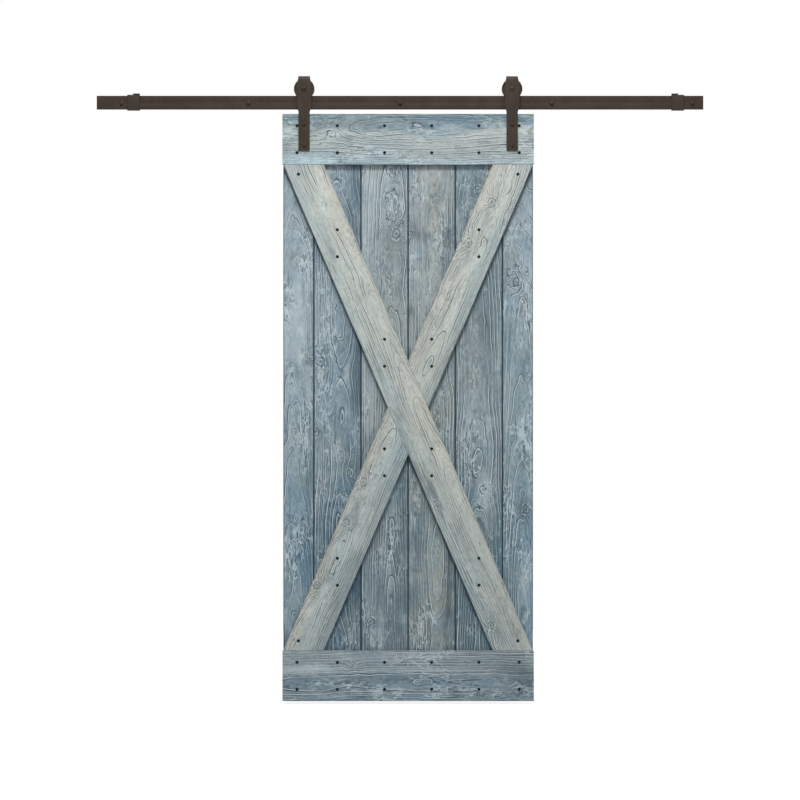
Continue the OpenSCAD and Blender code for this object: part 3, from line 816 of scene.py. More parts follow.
def eased_copy(
    nodes: tuple[str, ...], name: str, material: Material, width: float, segments: int = 2
) -> Object:
    """Copies CAD nodes into one piece, joins their faces and rounds their sharp edges.

    Args:
        nodes: the CAD nodes that the piece stands for.
        name: the piece's name.
        material: its finish.
        width: how far the rounding reaches from each edge.
        segments: faces across the rounding.

    Returns:
        The piece, whose "rub" attribute is 1 on the rounded edges.
    """
    shell = bmesh.new()
    for node in nodes:
        shell.from_mesh(bpy.data.objects[node].data)
    bmesh.ops.remove_doubles(shell, verts=shell.verts, dist=WELD)
    flat, limit = math.radians(COPLANAR_DEGREES), math.radians(SHARP_DEGREES)
    bmesh.ops.dissolve_limit(shell, angle_limit=flat, verts=shell.verts, edges=shell.edges)
    bmesh.ops.recalc_face_normals(shell, faces=shell.faces)
    sharp = [e for e in shell.edges if e.is_manifold and e.calc_face_angle(0.0) > limit]
    worked = bmesh.ops.bevel(
        shell,
        geom=sharp,
        offset=width,
        offset_type="OFFSET",
        segments=segments,
        profile=0.5,
        affect="EDGES",
        clamp_overlap=True,
        material=-1,
    )
    rounded = set(worked["faces"])
    flags = [1.0 if face in rounded else 0.0 for face in shell.faces]
    piece = to_piece(name, shell, [material])
    rub = piece.data.attributes.new("rub", "FLOAT", "FACE")
    rub.data.foreach_set("value", flags)
    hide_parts(*nodes)
    return piece


# ---------------------------------------------------------------- boards


# Painted shadow below the top rail and braces: how far under their edges it reaches, and the depth
# and fade of its two layers.
SHADOW_LAP = 0.002
SHADOW_FALLOFF = ((0.62, 0.0065), (0.30, 0.026))


@dataclass
class Board:
    """One pine board with its place in the door.

    Its own axes are X across, Y along and Z out of its face, and place turns them into the frame's.
    """

    name: str
    width: float
    length: float
    thick: float
    middle: Vector
    lean: float
    grain: Grain
    finish: PineFinish
    low_edge: Edge = Edge.PLAIN
    high_edge: Edge = Edge.PLAIN
    cuts: tuple[Plane, ...] = ()
    irons: tuple[Vector, ...] = ()
    # Edges of the boards fixed over this one, below which a shadow is painted on its face.
    shadow_casters: tuple[Plane, ...] = ()
    ease: float = 0.0015
    ease_steps: int = 3
    tongue_thick: float = 0.006
    tongue_long: float = 0.008
    groove_side_play: float = 0.0003
    groove_end_play: float = 0.0006
    cell_across: float = 0.0018
    cell_along: float = 0.0052
    cell_back: float = 0.0080

    def place(self) -> Matrix:
        """The matrix from the board's own axes to the frame's."""
        upright = Matrix.Rotation(math.pi / 2, 4, "X")
        return Matrix.Translation(self.middle) @ Matrix.Rotation(self.lean, 4, "Y") @ upright

    def section(self) -> list[tuple[float, float]]:
        """The board's cross-section as (across, out) corners, with its tongue or groove."""
        side, half, tongue = self.width / 2, self.thick / 2, self.tongue_thick / 2
        corners = [(-side, half), (side, half)]
        if self.high_edge is Edge.TONGUE:
            tip = side + self.tongue_long
            corners += [(side, tongue), (tip, tongue), (tip, -tongue), (side, -tongue)]
        corners += [(side, -half), (-side, -half)]
        if self.low_edge is Edge.GROOVE:
            slot = tongue + self.groove_side_play
            floor = self.tongue_long + self.groove_end_play - side
            corners += [(-side, -slot), (floor, -slot), (floor, slot), (-side, slot)]
        return corners

    def blank(self) -> bmesh.types.BMesh:
        """Extrudes the section, eases its corners and divides its faces finely for the relief."""
        shell = bmesh.new()
        ring = [shell.verts.new((x, -self.length / 2, z)) for x, z in self.section()]
        end = shell.faces.new(ring)
        pushed = bmesh.ops.extrude_face_region(shell, geom=[end])
        moved = [v for v in pushed["geom"] if isinstance(v, bmesh.types.BMVert)]
        bmesh.ops.translate(shell, verts=moved, vec=(0, self.length, 0))
        bmesh.ops.recalc_face_normals(shell, faces=shell.faces)
        half, side = self.thick / 2, self.width / 2
        joined = self.low_edge is not Edge.PLAIN or self.high_edge is not Edge.PLAIN

        def eased(edge: bmesh.types.BMEdge) -> bool:
            """Whether an edge is one of the long corners that are rounded."""
            first, last = (v.co for v in edge.verts)
            long_way = abs(first.y - last.y) > self.length / 2
            corner = abs(abs(first.x) - side) < TINY and abs(abs(first.z) - half) < TINY
            return long_way and corner and (joined or first.z > 0)

        bmesh.ops.bevel(
            shell,
            geom=[e for e in shell.edges if eased(e)],
            offset=self.ease,
            offset_type="OFFSET",
            segments=self.ease_steps,
            profile=0.5,
            affect="EDGES",
            clamp_overlap=False,
            material=-1,
        )
        long_edges = [
            e for e in shell.edges if abs(e.verts[0].co.y - e.verts[1].co.y) > self.length / 2
        ]
        rows = round(self.length / self.cell_along)
        bmesh.ops.subdivide_edges(shell, edges=long_edges, cuts=rows, use_grid_fill=True)
        for height, cell in ((half, self.cell_across), (-half, self.cell_back)):
            wide = [
                e
                for e in shell.edges
                if abs(e.verts[0].co.z - height) < TINY
                and abs(e.verts[1].co.z - height) < TINY
                and abs(e.verts[0].co.x - e.verts[1].co.x) > self.width / 2
            ]
            cuts = round(self.width / cell) if joined or height > 0 else 2
            bmesh.ops.subdivide_edges(shell, edges=wide, cuts=cuts, use_grid_fill=True)
        return shell

    def saw(self, shell: bmesh.types.BMesh) -> None:
        """Cuts the placed board along its cut planes and closes each sawn end."""
        for face in shell.faces:
            face.material_index = 1 if len(face.verts) > 4 or abs(face.normal.y) > 0.9 else 0
        bmesh.ops.transform(shell, matrix=self.place(), verts=shell.verts)
        for point, normal in self.cuts:
            geometry = shell.verts[:] + shell.edges[:] + shell.faces[:]
            cut = bmesh.ops.bisect_plane(
                shell, geom=geometry, plane_co=point, plane_no=normal, clear_outer=True
            )
            loop = [e for e in cut["geom_cut"] if isinstance(e, bmesh.types.BMEdge)]
            if loop:
                filled = bmesh.ops.holes_fill(shell, edges=loop, sides=0)
                for face in filled["faces"]:
                    face.material_index = 1
        bmesh.ops.recalc_face_normals(shell, faces=shell.faces)

    def nearest_iron(self, spots: np.ndarray) -> np.ndarray:
        """The way from each place to its nearest screw, along the face."""
        ways = np.ones((len(spots), 3))
        for iron in self.irons:
            way = (np.array(iron) - spots) * (1.0, 0.0, 1.0)
            nearer = np.linalg.norm(way, axis=1) < np.linalg.norm(ways, axis=1)
            ways[nearer] = way[nearer]
        return ways

    def painted_shadow(self, spots: np.ndarray) -> np.ndarray:
        """How dark the painted shadow is below the boards fixed over this one.

        Args:
            spots: places in the frame, one in each row.

        Returns:
            The darkness at each place, from 0 up.
        """
        dark = np.zeros(len(spots))
        for point, away in self.shadow_casters:
            far = (spots - np.array(point)) @ np.array(away)
            far = np.where(far > -SHADOW_LAP, np.clip(far, 0, None), np.inf)
            for depth, fade in SHADOW_FALLOFF:
                dark += depth * np.exp(-far / fade)
        return dark

    def brush(self, mesh: Mesh) -> None:
        """Writes the grain, the smudges and the painted shadow onto the mesh and wears its faces
        down between the rings.
        """
        count = len(mesh.vertices)
        flat = np.empty(count * 3, np.float32)
        mesh.vertices.foreach_get("co", flat)
        spots = flat.reshape(-1, 3).astype(float)
        inward = np.array(self.place().inverted())
        own = spots @ inward[:3, :3].T + inward[:3, 3]
        across, along, out = own[:, 0], own[:, 1], own[:, 2]
        back = self.thick / 2 - out
        rings = self.grain.rings(along, across, back)
        knot = self.grain.knot_mask(along, across)
        mesh.attributes.new("grain", "FLOAT_VECTOR", "POINT").data.foreach_set(
            "vector", np.stack([along, across, rings], 1).astype(np.float32).ravel()
        )
        front = out > self.thick / 2 - self.ease * 2
        # The smudges' real stain plus the painted shadow below the top rail and braces.
        stain = np.where(front, self.grain.stain(along, across) + self.painted_shadow(spots), 0.0)
        density = self.grain.density(along, across, back)
        mesh.attributes.new("figure", "FLOAT_VECTOR", "POINT").data.foreach_set(
            "vector", np.stack([knot, stain, density], 1).astype(np.float32).ravel()
        )
        ways = np.where(front[:, None], self.nearest_iron(spots), 1.0).astype(np.float32)
        mesh.attributes.new("iron", "FLOAT_VECTOR", "POINT").data.foreach_set(
            "vector", ways.ravel()
        )
        clear = np.clip((self.width / 2 - self.ease - np.abs(across)) / 0.003, 0, 1)
        face = (np.abs(np.abs(out) - self.thick / 2) < TINY) & (clear > 0)
        worn = np.where(face, self.grain.relief(along, across, back) * clear, 0.0)
        own[:, 2] -= np.sign(out) * worn
        outward = np.array(self.place())
        spots = own @ outward[:3, :3].T + outward[:3, 3]
        mesh.vertices.foreach_set("co", spots.astype(np.float32).ravel())
        mesh.update()

    def build(self, group: NodeTree, sawn: Material) -> Object:
        """Makes the finished board, in place of its CAD node.

        Args:
            group: the shared grain group.
            sawn: the material of sawn ends.

        Returns:
            The board.
        """
        shell = self.blank()
        self.saw(shell)
        face = self.finish.build(group, self.width, self.length, float(self.grain.seed))
        piece = to_piece("board_" + self.name, shell, [face, sawn])
        self.brush(piece.data)
        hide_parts(self.name)
        return piece


# ---------------------------------------------------------------- turned parts


@dataclass(frozen=True)
class Row:
    """One ring of a turned part: its radius, its height and, if it is a hexagon, its flats."""

    radius: float
    height: float
    flats: float = 0.0


@dataclass(frozen=True)
class Thread:
    """A helical ridge round a turned part."""

    root: float
    crest: float
    top: float
    length: float
    pitch: float
    tread: float
    steps: int = 20

    def cut(self, shell: bmesh.types.BMesh) -> None:
        """Winds the ridge into the shell as a closed helical bar."""
        corners = ((self.root, self.tread), (self.crest, 0.0), (self.root, -self.tread))
        ring = [shell.verts.new((radius, 0, self.top + rise)) for radius, rise in corners]
        cap = shell.faces.new(ring)
        count = round(self.length / self.pitch * self.steps)
        bmesh.ops.spin(
            shell,
            geom=[cap],
            cent=(0, 0, 0),
            axis=(0, 0, 1),
            dvec=(0, 0, -self.pitch / self.steps),
            angle=2 * math.pi * count / self.steps,
            steps=count,
            use_merge=False,
            use_duplicate=False,
        )


def turned(rows: tuple[Row, ...], steps: int = 48, thread: Thread | None = None) -> Mesh:
    """Spins a profile about Z, from one pole to the other.

    Args:
        rows: the profile's rings, first and last on the axis.
        steps: faces round the part, a multiple of six.
        thread: a ridge to wind round it.

    Returns:
        The closed mesh.
    """
    shell = bmesh.new()
    spine = [shell.verts.new((row.radius, 0, row.height)) for row in rows]
    edges = [shell.edges.new(pair) for pair in zip(spine, spine[1:])]
    bmesh.ops.spin(
        shell,
        geom=spine + edges,
        cent=(0, 0, 0),
        axis=(0, 0, 1),
        dvec=(0, 0, 0),
        angle=2 * math.pi,
        steps=steps,
        use_merge=True,
        use_duplicate=False,
    )
    for vert in shell.verts:
        radius = math.hypot(vert.co.x, vert.co.y)
        for row in rows:
            same = abs(row.radius - radius) < TINY and abs(row.height - vert.co.z) < TINY
            if row.flats and same:
                turn = math.degrees(math.atan2(vert.co.y, vert.co.x)) % 60 - 30
                limit = row.flats / 2 / math.cos(math.radians(turn))
                vert.co.xy *= min(1.0, limit / radius)
                break
    bmesh.ops.remove_doubles(shell, verts=shell.verts, dist=WELD)
    if thread:
        thread.cut(shell)
    bmesh.ops.recalc_face_normals(shell, faces=shell.faces)
    mesh = bpy.data.meshes.new("turned")
    shell.to_mesh(mesh)
    shell.free()
    return mesh


def set_out(
    name: str, parts: list[tuple[Mesh, Matrix]], material: Material, nodes: tuple[str, ...]
) -> Object:
    """Puts copies of turned parts in their places as one piece.

    Args:
        name: the piece's name.
        parts: each mesh with its place.
        material: its finish.
        nodes: the CAD nodes that it stands for.

    Returns:
        The piece.
    """
    shell = bmesh.new()
    for mesh, place in parts:
        copy = mesh.copy()
        copy.transform(place)
        shell.from_mesh(copy)
        bpy.data.meshes.remove(copy)
    piece = to_piece(name, shell, [material])
    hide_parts(*nodes)
    return piece


def facing_room(low: Vector, high: Vector, seat: float) -> Matrix:
    """A place at depth seat in the middle of a box, whose own Z points into the room."""
    spot = Vector(((low.x + high.x) / 2, seat, (low.z + high.z) / 2))
    return Matrix.Translation(spot) @ Matrix.Rotation(math.pi / 2, 4, "X")


def islands(node: str) -> list[tuple[Vector, Vector]]:
    """The box of each separate solid in a CAD node."""
    shell = bmesh.new()
    shell.from_mesh(bpy.data.objects[node].data)
    bmesh.ops.remove_doubles(shell, verts=shell.verts, dist=WELD)
    seen, boxes = set(), []
    for start in shell.verts:
        if start in seen:
            continue
        seen.add(start)
        group, waiting = [], [start]
        while waiting:
            vert = waiting.pop()
            group.append(vert.co.copy())
            for edge in vert.link_edges:
                other = edge.other_vert(vert)
                if other not in seen:
                    seen.add(other)
                    waiting.append(other)
        low = Vector(tuple(min(c[i] for c in group) for i in range(3)))
        boxes.append((low, Vector(tuple(max(c[i] for c in group) for i in range(3)))))
    shell.free()
    return boxes


# ---------------------------------------------------------------- the shop's finishes


@dataclass(frozen=True)
class Finishes:
    """Every finish in the door, built once."""

    pine: NodeTree
    sawn: Material
    bronze: Material
    black: Material
    rubber: Material
    zinc: Material
    bearing: Material

    @staticmethod
    def mix_up() -> "Finishes":
        """Builds the node groups and the shared materials."""
        skin = worn_skin_group()
        bronze = SkinFinish(
            "bronze_coat",
            tone(62, 51, 43),
            tone(54, 44, 37),
            tone(96, 80, 66),
            (0.50, 0.62),
            pebble=1500.0,
            relief=0.00016,
            gloss=0.28,
        )
        black = SkinFinish(
            "black_oxide",
            tone(15, 14, 15),
            tone(9, 9, 10),
            tone(60, 57, 55),
            (0.46, 0.60),
            gloss=0.25,
        )
        rubber = SkinFinish(
            "black_rubber",
            tone(27, 26, 26),
            tone(36, 35, 34),
            tone(60, 58, 56),
            (0.78, 0.92),
            pebble=2200.0,
        )
        zinc = SkinFinish(
            "zinc_plate",
            tone(178, 180, 182),
            tone(158, 161, 166),
            tone(206, 207, 208),
            (0.30, 0.44),
            metal=1.0,
        )
        bearing = SkinFinish(
            "ground_steel",
            tone(196, 196, 198),
            tone(178, 179, 182),
            tone(220, 220, 222),
            (0.16, 0.26),
            metal=1.0,
            relief=0.00003,
        )
        return Finishes(
            BrushedPine().build(),
            EndGrainFinish().build(),
            bronze.build(skin),
            black.build(skin),
            rubber.build(skin),
            zinc.build(skin),
            bearing.build(skin),
        )


@dataclass
class Assembly:
    """A sub-assembly: the finishes that it takes and the pieces that it has made."""

    finishes: Finishes
    pieces: list[Object] = field(default_factory=list, init=False)

    def keep(self, piece: Object, body: str, slot: str) -> None:
        """Fixes a piece to a body and notes it."""
        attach(piece, body)
        self.pieces.append(piece)
        LOG.info("%s: %d faces", piece.name, len(piece.data.polygons))


# ---------------------------------------------------------------- the leaf


def shades(*stops: tuple[float, float, float, float]) -> Stops:
    """Stops that darken a board along its length, as (place, red, green, blue) factors."""
    return tuple((place, (red, green, blue, 1.0)) for place, red, green, blue in stops)


PLANK_FINISHES = (
    PineFinish(
        "pine_plank_1",
        ((0.0, tone(160, 176, 186)), (0.5, tone(158, 175, 185)), (1.0, tone(144, 164, 176))),
        shades(
            (0.0, 0.38, 0.55, 0.65), (0.25, 0.40, 0.57, 0.66), (0.5, 0.78, 0.83, 0.85),
            (0.75, 1.0, 1.0, 1.0),
        ),
        fleck=0.86,
        seam_shade=0.92,
    ),
    PineFinish(
        "pine_plank_2",
        ((0.0, tone(144, 163, 173)), (0.5, tone(132, 151, 162)), (1.0, tone(116, 138, 152))),
        shades(
            (0.0, 0.17, 0.31, 0.41), (0.25, 0.23, 0.40, 0.50), (0.5, 0.80, 0.88, 0.92),
            (0.75, 1.0, 1.0, 1.0),
        ),
        seam_shade=0.92,
    ),
    PineFinish(
        "pine_plank_3",
        ((0.0, tone(160, 175, 183)), (0.5, tone(152, 164, 168)), (1.0, tone(140, 154, 159))),
        shades(
            (0.0, 0.37, 0.46, 0.51), (0.3, 0.48, 0.57, 0.60), (0.55, 1.10, 1.05, 1.0),
            (0.8, 1.06, 1.06, 1.05),
        ),
        ring=1.0,
        seam_shade=0.92,
    ),
    PineFinish(
        "pine_plank_4",
        ((0.0, tone(146, 161, 170)), (0.5, tone(150, 160, 159)), (1.0, tone(136, 150, 152))),
        shades(
            (0.0, 0.51, 0.58, 0.58), (0.3, 0.55, 0.61, 0.59), (0.6, 0.94, 0.95, 0.94),
            (0.85, 1.0, 1.0, 1.0),
        ),
        warm=tone(160, 157, 146),
        patch=0.60,
        seam_shade=0.92,
    ),
    PineFinish(
        "pine_plank_5",
        ((0.0, tone(133, 146, 150)), (0.5, tone(138, 151, 154)), (1.0, tone(130, 146, 150))),
        shades(
            (0.0, 0.20, 0.41, 0.56), (0.2, 0.27, 0.49, 0.61), (0.5, 0.89, 0.93, 0.95),
            (0.9, 0.80, 0.89, 0.94),
        ),
        ring=1.0,
        seam_shade=0.92,
    ),
    PineFinish(
        "pine_plank_6",
        ((0.0, tone(128, 148, 158)), (0.5, tone(141, 160, 170)), (1.0, tone(152, 169, 178))),
        shades(
            (0.0, 0.49, 0.68, 0.75), (0.15, 0.41, 0.59, 0.66), (0.45, 0.69, 0.80, 0.81),
            (0.7, 1.0, 1.0, 1.0),
        ),
        ring=1.0,
        fleck=0.78,
        seam_shade=0.92,
    ),
)
PLANK_GRAINS = (
    Grain(
        seed=11, pith=-0.012, depth=0.088, slope=0.050,
        spacing=0.0088,
        knots=(Knot(0.181, 0.048, 0.009, 2.5), Knot(-0.404, -0.011, 0.008, 1.8)),
        smudges=(
            Smudge(0.32, -0.005, 0.14, 0.040, -0.30), Smudge(0.176, 0.046, 0.016, 0.018, 0.45),
            Smudge(-0.45, 0.030, 0.30, 0.018, 0.25),
        ),
    ),
    Grain(
        seed=23, pith=0.006, depth=0.058, slope=0.022,
        spacing=0.0084, wander=0.012, swell=0.016,
        knots=(
            Knot(0.167, -0.060, 0.014, 2.6), Knot(-0.088, -0.080, 0.013, 2.4),
            Knot(-0.237, 0.045, 0.008, 1.6),
        ),
        smudges=(
            Smudge(0.74, 0.056, 0.24, 0.026, 0.42), Smudge(0.06, 0.070, 0.26, 0.024, 0.40),
            Smudge(-0.088, -0.066, 0.020, 0.018, 0.5), Smudge(0.158, -0.050, 0.030, 0.022, 0.30),
            Smudge(0.44, -0.030, 0.16, 0.030, -0.16),
        ),
    ),
    Grain(
        seed=37, pith=0.030, depth=0.040, slope=0.036,
        spacing=0.0084, wander=0.010, swell=0.014,
        knots=(
            Knot(0.632, 0.042, 0.015, 3.2), Knot(-0.779, -0.050, 0.011, 2.2),
            Knot(0.858, 0.027, 0.009, 2.2), Knot(0.474, 0.018, 0.009, 2.0),
        ),
        smudges=(
            Smudge(0.53, 0.020, 0.15, 0.055, 0.36), Smudge(0.80, -0.045, 0.13, 0.034, -0.26),
            Smudge(0.632, 0.046, 0.026, 0.024, 0.25), Smudge(-0.779, -0.050, 0.026, 0.020, 0.42),
            Smudge(-0.55, 0.062, 0.30, 0.022, 0.30), Smudge(-0.24, 0.045, 0.10, 0.040, -0.10),
        ),
    ),
    Grain(
        seed=41, pith=0.018, depth=0.056, slope=0.014,
        spacing=0.0088, wander=0.010, swell=0.022,
        knots=(
            Knot(0.752, 0.019, 0.006, 1.5), Knot(0.745, 0.006, 0.004, 1.0),
            Knot(0.640, -0.078, 0.010, 2.5),
        ),
        smudges=(
            Smudge(0.638, -0.062, 0.030, 0.024, 0.55), Smudge(0.622, -0.022, 0.016, 0.026, 0.42),
            Smudge(0.634, 0.072, 0.024, 0.022, 0.34), Smudge(0.55, 0.062, 0.13, 0.026, 0.40),
            Smudge(-0.64, 0.066, 0.24, 0.018, 0.55), Smudge(-0.58, -0.066, 0.30, 0.016, 0.30),
            Smudge(-0.52, 0.010, 0.22, 0.036, -0.14),
        ),
    ),
    Grain(
        seed=59, pith=-0.004, depth=0.060, slope=0.050,
        spacing=0.0086, wander=0.010, swell=0.012,
        knots=(Knot(0.792, -0.003, 0.013, 3.2), Knot(-0.299, 0.015, 0.012, 2.6)),
        smudges=(
            Smudge(0.79, 0.0, 0.060, 0.044, 0.36), Smudge(0.30, 0.010, 0.14, 0.060, 0.26),
            Smudge(-0.299, 0.018, 0.050, 0.026, -0.30), Smudge(-0.70, -0.040, 0.20, 0.030, 0.30),
            Smudge(0.02, -0.030, 0.10, 0.040, -0.12),
        ),
    ),
    Grain(
        seed=67, pith=0.016, depth=0.064, slope=0.056,
        spacing=0.0086, wander=0.009, swell=0.010,
        knots=(Knot(0.458, -0.005, 0.013, 2.8), Knot(-0.371, 0.031, 0.013, 2.4)),
        smudges=(
            Smudge(0.458, -0.006, 0.030, 0.022, 0.35), Smudge(-0.371, 0.026, 0.050, 0.026, 0.62),
            Smudge(0.05, -0.040, 0.16, 0.020, -0.22), Smudge(-0.62, 0.030, 0.14, 0.020, -0.20),
        ),
    ),
)
TOP_RAIL_FINISH = PineFinish(
    "pine_top_rail",
    (
        (0.0, tone(196, 217, 224)),
        (0.17, tone(192, 210, 217)),
        (0.25, tone(172, 183, 183)),
        (0.58, tone(182, 189, 184)),
        (0.72, tone(150, 167, 172)),
        (1.0, tone(110, 137, 148)),
    ),
    shades(
        (0.0, 1.0, 1.0, 1.0), (0.35, 0.96, 0.96, 0.96), (0.65, 0.88, 0.91, 0.92),
        (1.0, 0.82, 0.87, 0.90),
    ),
    patch=0.35,
    ring=1.0,
)
BOTTOM_RAIL_FINISH = PineFinish(
    "pine_bottom_rail",
    (
        (0.0, tone(108, 128, 141)),
        (0.4, tone(114, 134, 147)),
        (0.7, tone(130, 145, 153)),
        (1.0, tone(146, 158, 162)),
    ),
    shades(
        (0.0, 0.84, 0.84, 0.83), (0.4, 1.0, 1.02, 1.03), (0.8, 0.94, 0.98, 1.0),
        (1.0, 1.0, 1.0, 1.0),
    ),
    ring=1.0,
)
TOP_RAIL_GRAIN = Grain(
    seed=71, pith=0.050, depth=0.052, slope=0.018,
    spacing=0.0084, wander=0.014, swell=0.016,
    knots=(
        Knot(0.278, 0.021, 0.013, 2.8), Knot(0.245, -0.081, 0.006, 1.4),
        Knot(-0.032, -0.081, 0.006, 1.4),
    ),
    smudges=(
        Smudge(0.262, 0.024, 0.050, 0.016, -0.55), Smudge(0.43, 0.026, 0.022, 0.012, -0.45),
        Smudge(0.18, 0.052, 0.20, 0.026, 0.30), Smudge(-0.10, 0.078, 0.30, 0.016, 0.30),
        Smudge(0.245, -0.082, 0.012, 0.008, 0.55),
    ),
)
BOTTOM_RAIL_GRAIN = Grain(
    seed=83, pith=-0.020, depth=0.044, slope=0.020,
    spacing=0.0080, wander=0.016, swell=0.018,
    knots=(Knot(0.202, 0.040, 0.009, 1.8), Knot(-0.269, -0.069, 0.008, 2.0)),
    smudges=(
        Smudge(0.36, 0.024, 0.12, 0.014, -0.50), Smudge(-0.40, 0.0, 0.09, 0.070, 0.34),
        Smudge(-0.269, -0.070, 0.020, 0.010, 0.60), Smudge(0.02, -0.010, 0.26, 0.016, 0.22),
        Smudge(-0.10, 0.020, 0.20, 0.012, -0.24),
    ),
)
LONG_BRACE_GRAIN = Grain(
    seed=97, pith=0.040, depth=0.038, slope=0.030,
    spacing=0.0080, wander=0.012, swell=0.014,
    knots=(
        Knot(0.799, 0.010, 0.009, 2.4), Knot(0.740, 0.004, 0.007, 1.6),
        Knot(-0.359, -0.041, 0.010, 1.2), Knot(-0.848, -0.037, 0.012, 2.6),
    ),
    smudges=(
        Smudge(0.78, 0.008, 0.050, 0.012, -0.40), Smudge(-0.20, -0.040, 0.30, 0.020, 0.18),
        Smudge(-0.848, -0.030, 0.034, 0.018, 0.35), Smudge(-0.359, -0.041, 0.020, 0.014, 0.26),
        Smudge(0.30, -0.045, 0.04, 0.012, -0.35),
    ),
)
UPPER_BRACE_GRAIN = Grain(
    seed=103, pith=0.010, depth=0.032, slope=0.036,
    spacing=0.0078, wander=0.018, swell=0.018,
    knots=(Knot(0.305, -0.018, 0.014, 3.2), Knot(0.135, -0.036, 0.014, 3.2)),
    smudges=(
        Smudge(0.305, -0.020, 0.026, 0.018, 0.28), Smudge(0.135, -0.040, 0.034, 0.018, 0.30),
        Smudge(0.22, -0.026, 0.05, 0.010, -0.40), Smudge(0.40, 0.010, 0.06, 0.026, -0.14),
        Smudge(0.0, 0.050, 0.36, 0.012, 0.20),
    ),
)
LOWER_BRACE_GRAIN = Grain(
    seed=109, pith=-0.020, depth=0.032, slope=0.032,
    spacing=0.0078, wander=0.016, swell=0.016,
    knots=(
        Knot(0.189, -0.042, 0.013, 2.8), Knot(0.026, -0.043, 0.013, 2.8),
        Knot(-0.223, -0.048, 0.012, 2.6),
    ),
    smudges=(
        Smudge(0.026, -0.040, 0.030, 0.018, 0.34), Smudge(-0.223, -0.048, 0.026, 0.014, 0.34),
        Smudge(0.189, -0.042, 0.026, 0.016, 0.28), Smudge(-0.02, 0.030, 0.030, 0.030, -0.40),
        Smudge(-0.10, 0.046, 0.40, 0.016, 0.30),
    ),
)
BRACE_STAINS = (
    tone(184, 182, 171),
    tone(148, 168, 175),
    tone(218, 223, 219),
    tone(70, 85, 90),
)
LONG_BRACE_FINISH = PineFinish(
    "pine_long_brace",
    ((0.0, tone(170, 185, 186)), (0.5, tone(186, 193, 188)), (1.0, tone(192, 193, 184))),
    shades(
        (0.0, 0.62, 0.69, 0.73), (0.3, 0.87, 0.90, 0.92), (0.55, 1.00, 1.00, 0.99),
        (0.8, 1.04, 1.05, 1.05),
    ),
    *BRACE_STAINS,
    ring=0.9,
    patch=0.45,
    fleck=0.35,
)
UPPER_BRACE_FINISH = PineFinish(
    "pine_upper_brace",
    ((0.0, tone(194, 195, 187)), (0.5, tone(189, 196, 190)), (1.0, tone(168, 182, 183))),
    shades((0.0, 0.96, 0.965, 0.95), (0.5, 1.055, 1.055, 1.05), (1.0, 1.02, 1.02, 1.02)),
    *BRACE_STAINS,
    ring=1.0,
    patch=0.45,
    fleck=0.45,
)
LOWER_BRACE_FINISH = PineFinish(
    "pine_lower_brace",
    ((0.0, tone(186, 184, 173)), (0.5, tone(169, 180, 180)), (1.0, tone(142, 163, 171))),
    shades((0.0, 0.89, 0.955, 0.99), (1.0, 1.04, 1.07, 1.08)),
    *BRACE_STAINS,
    ring=1.0,
    patch=0.45,
    fleck=0.45,
)


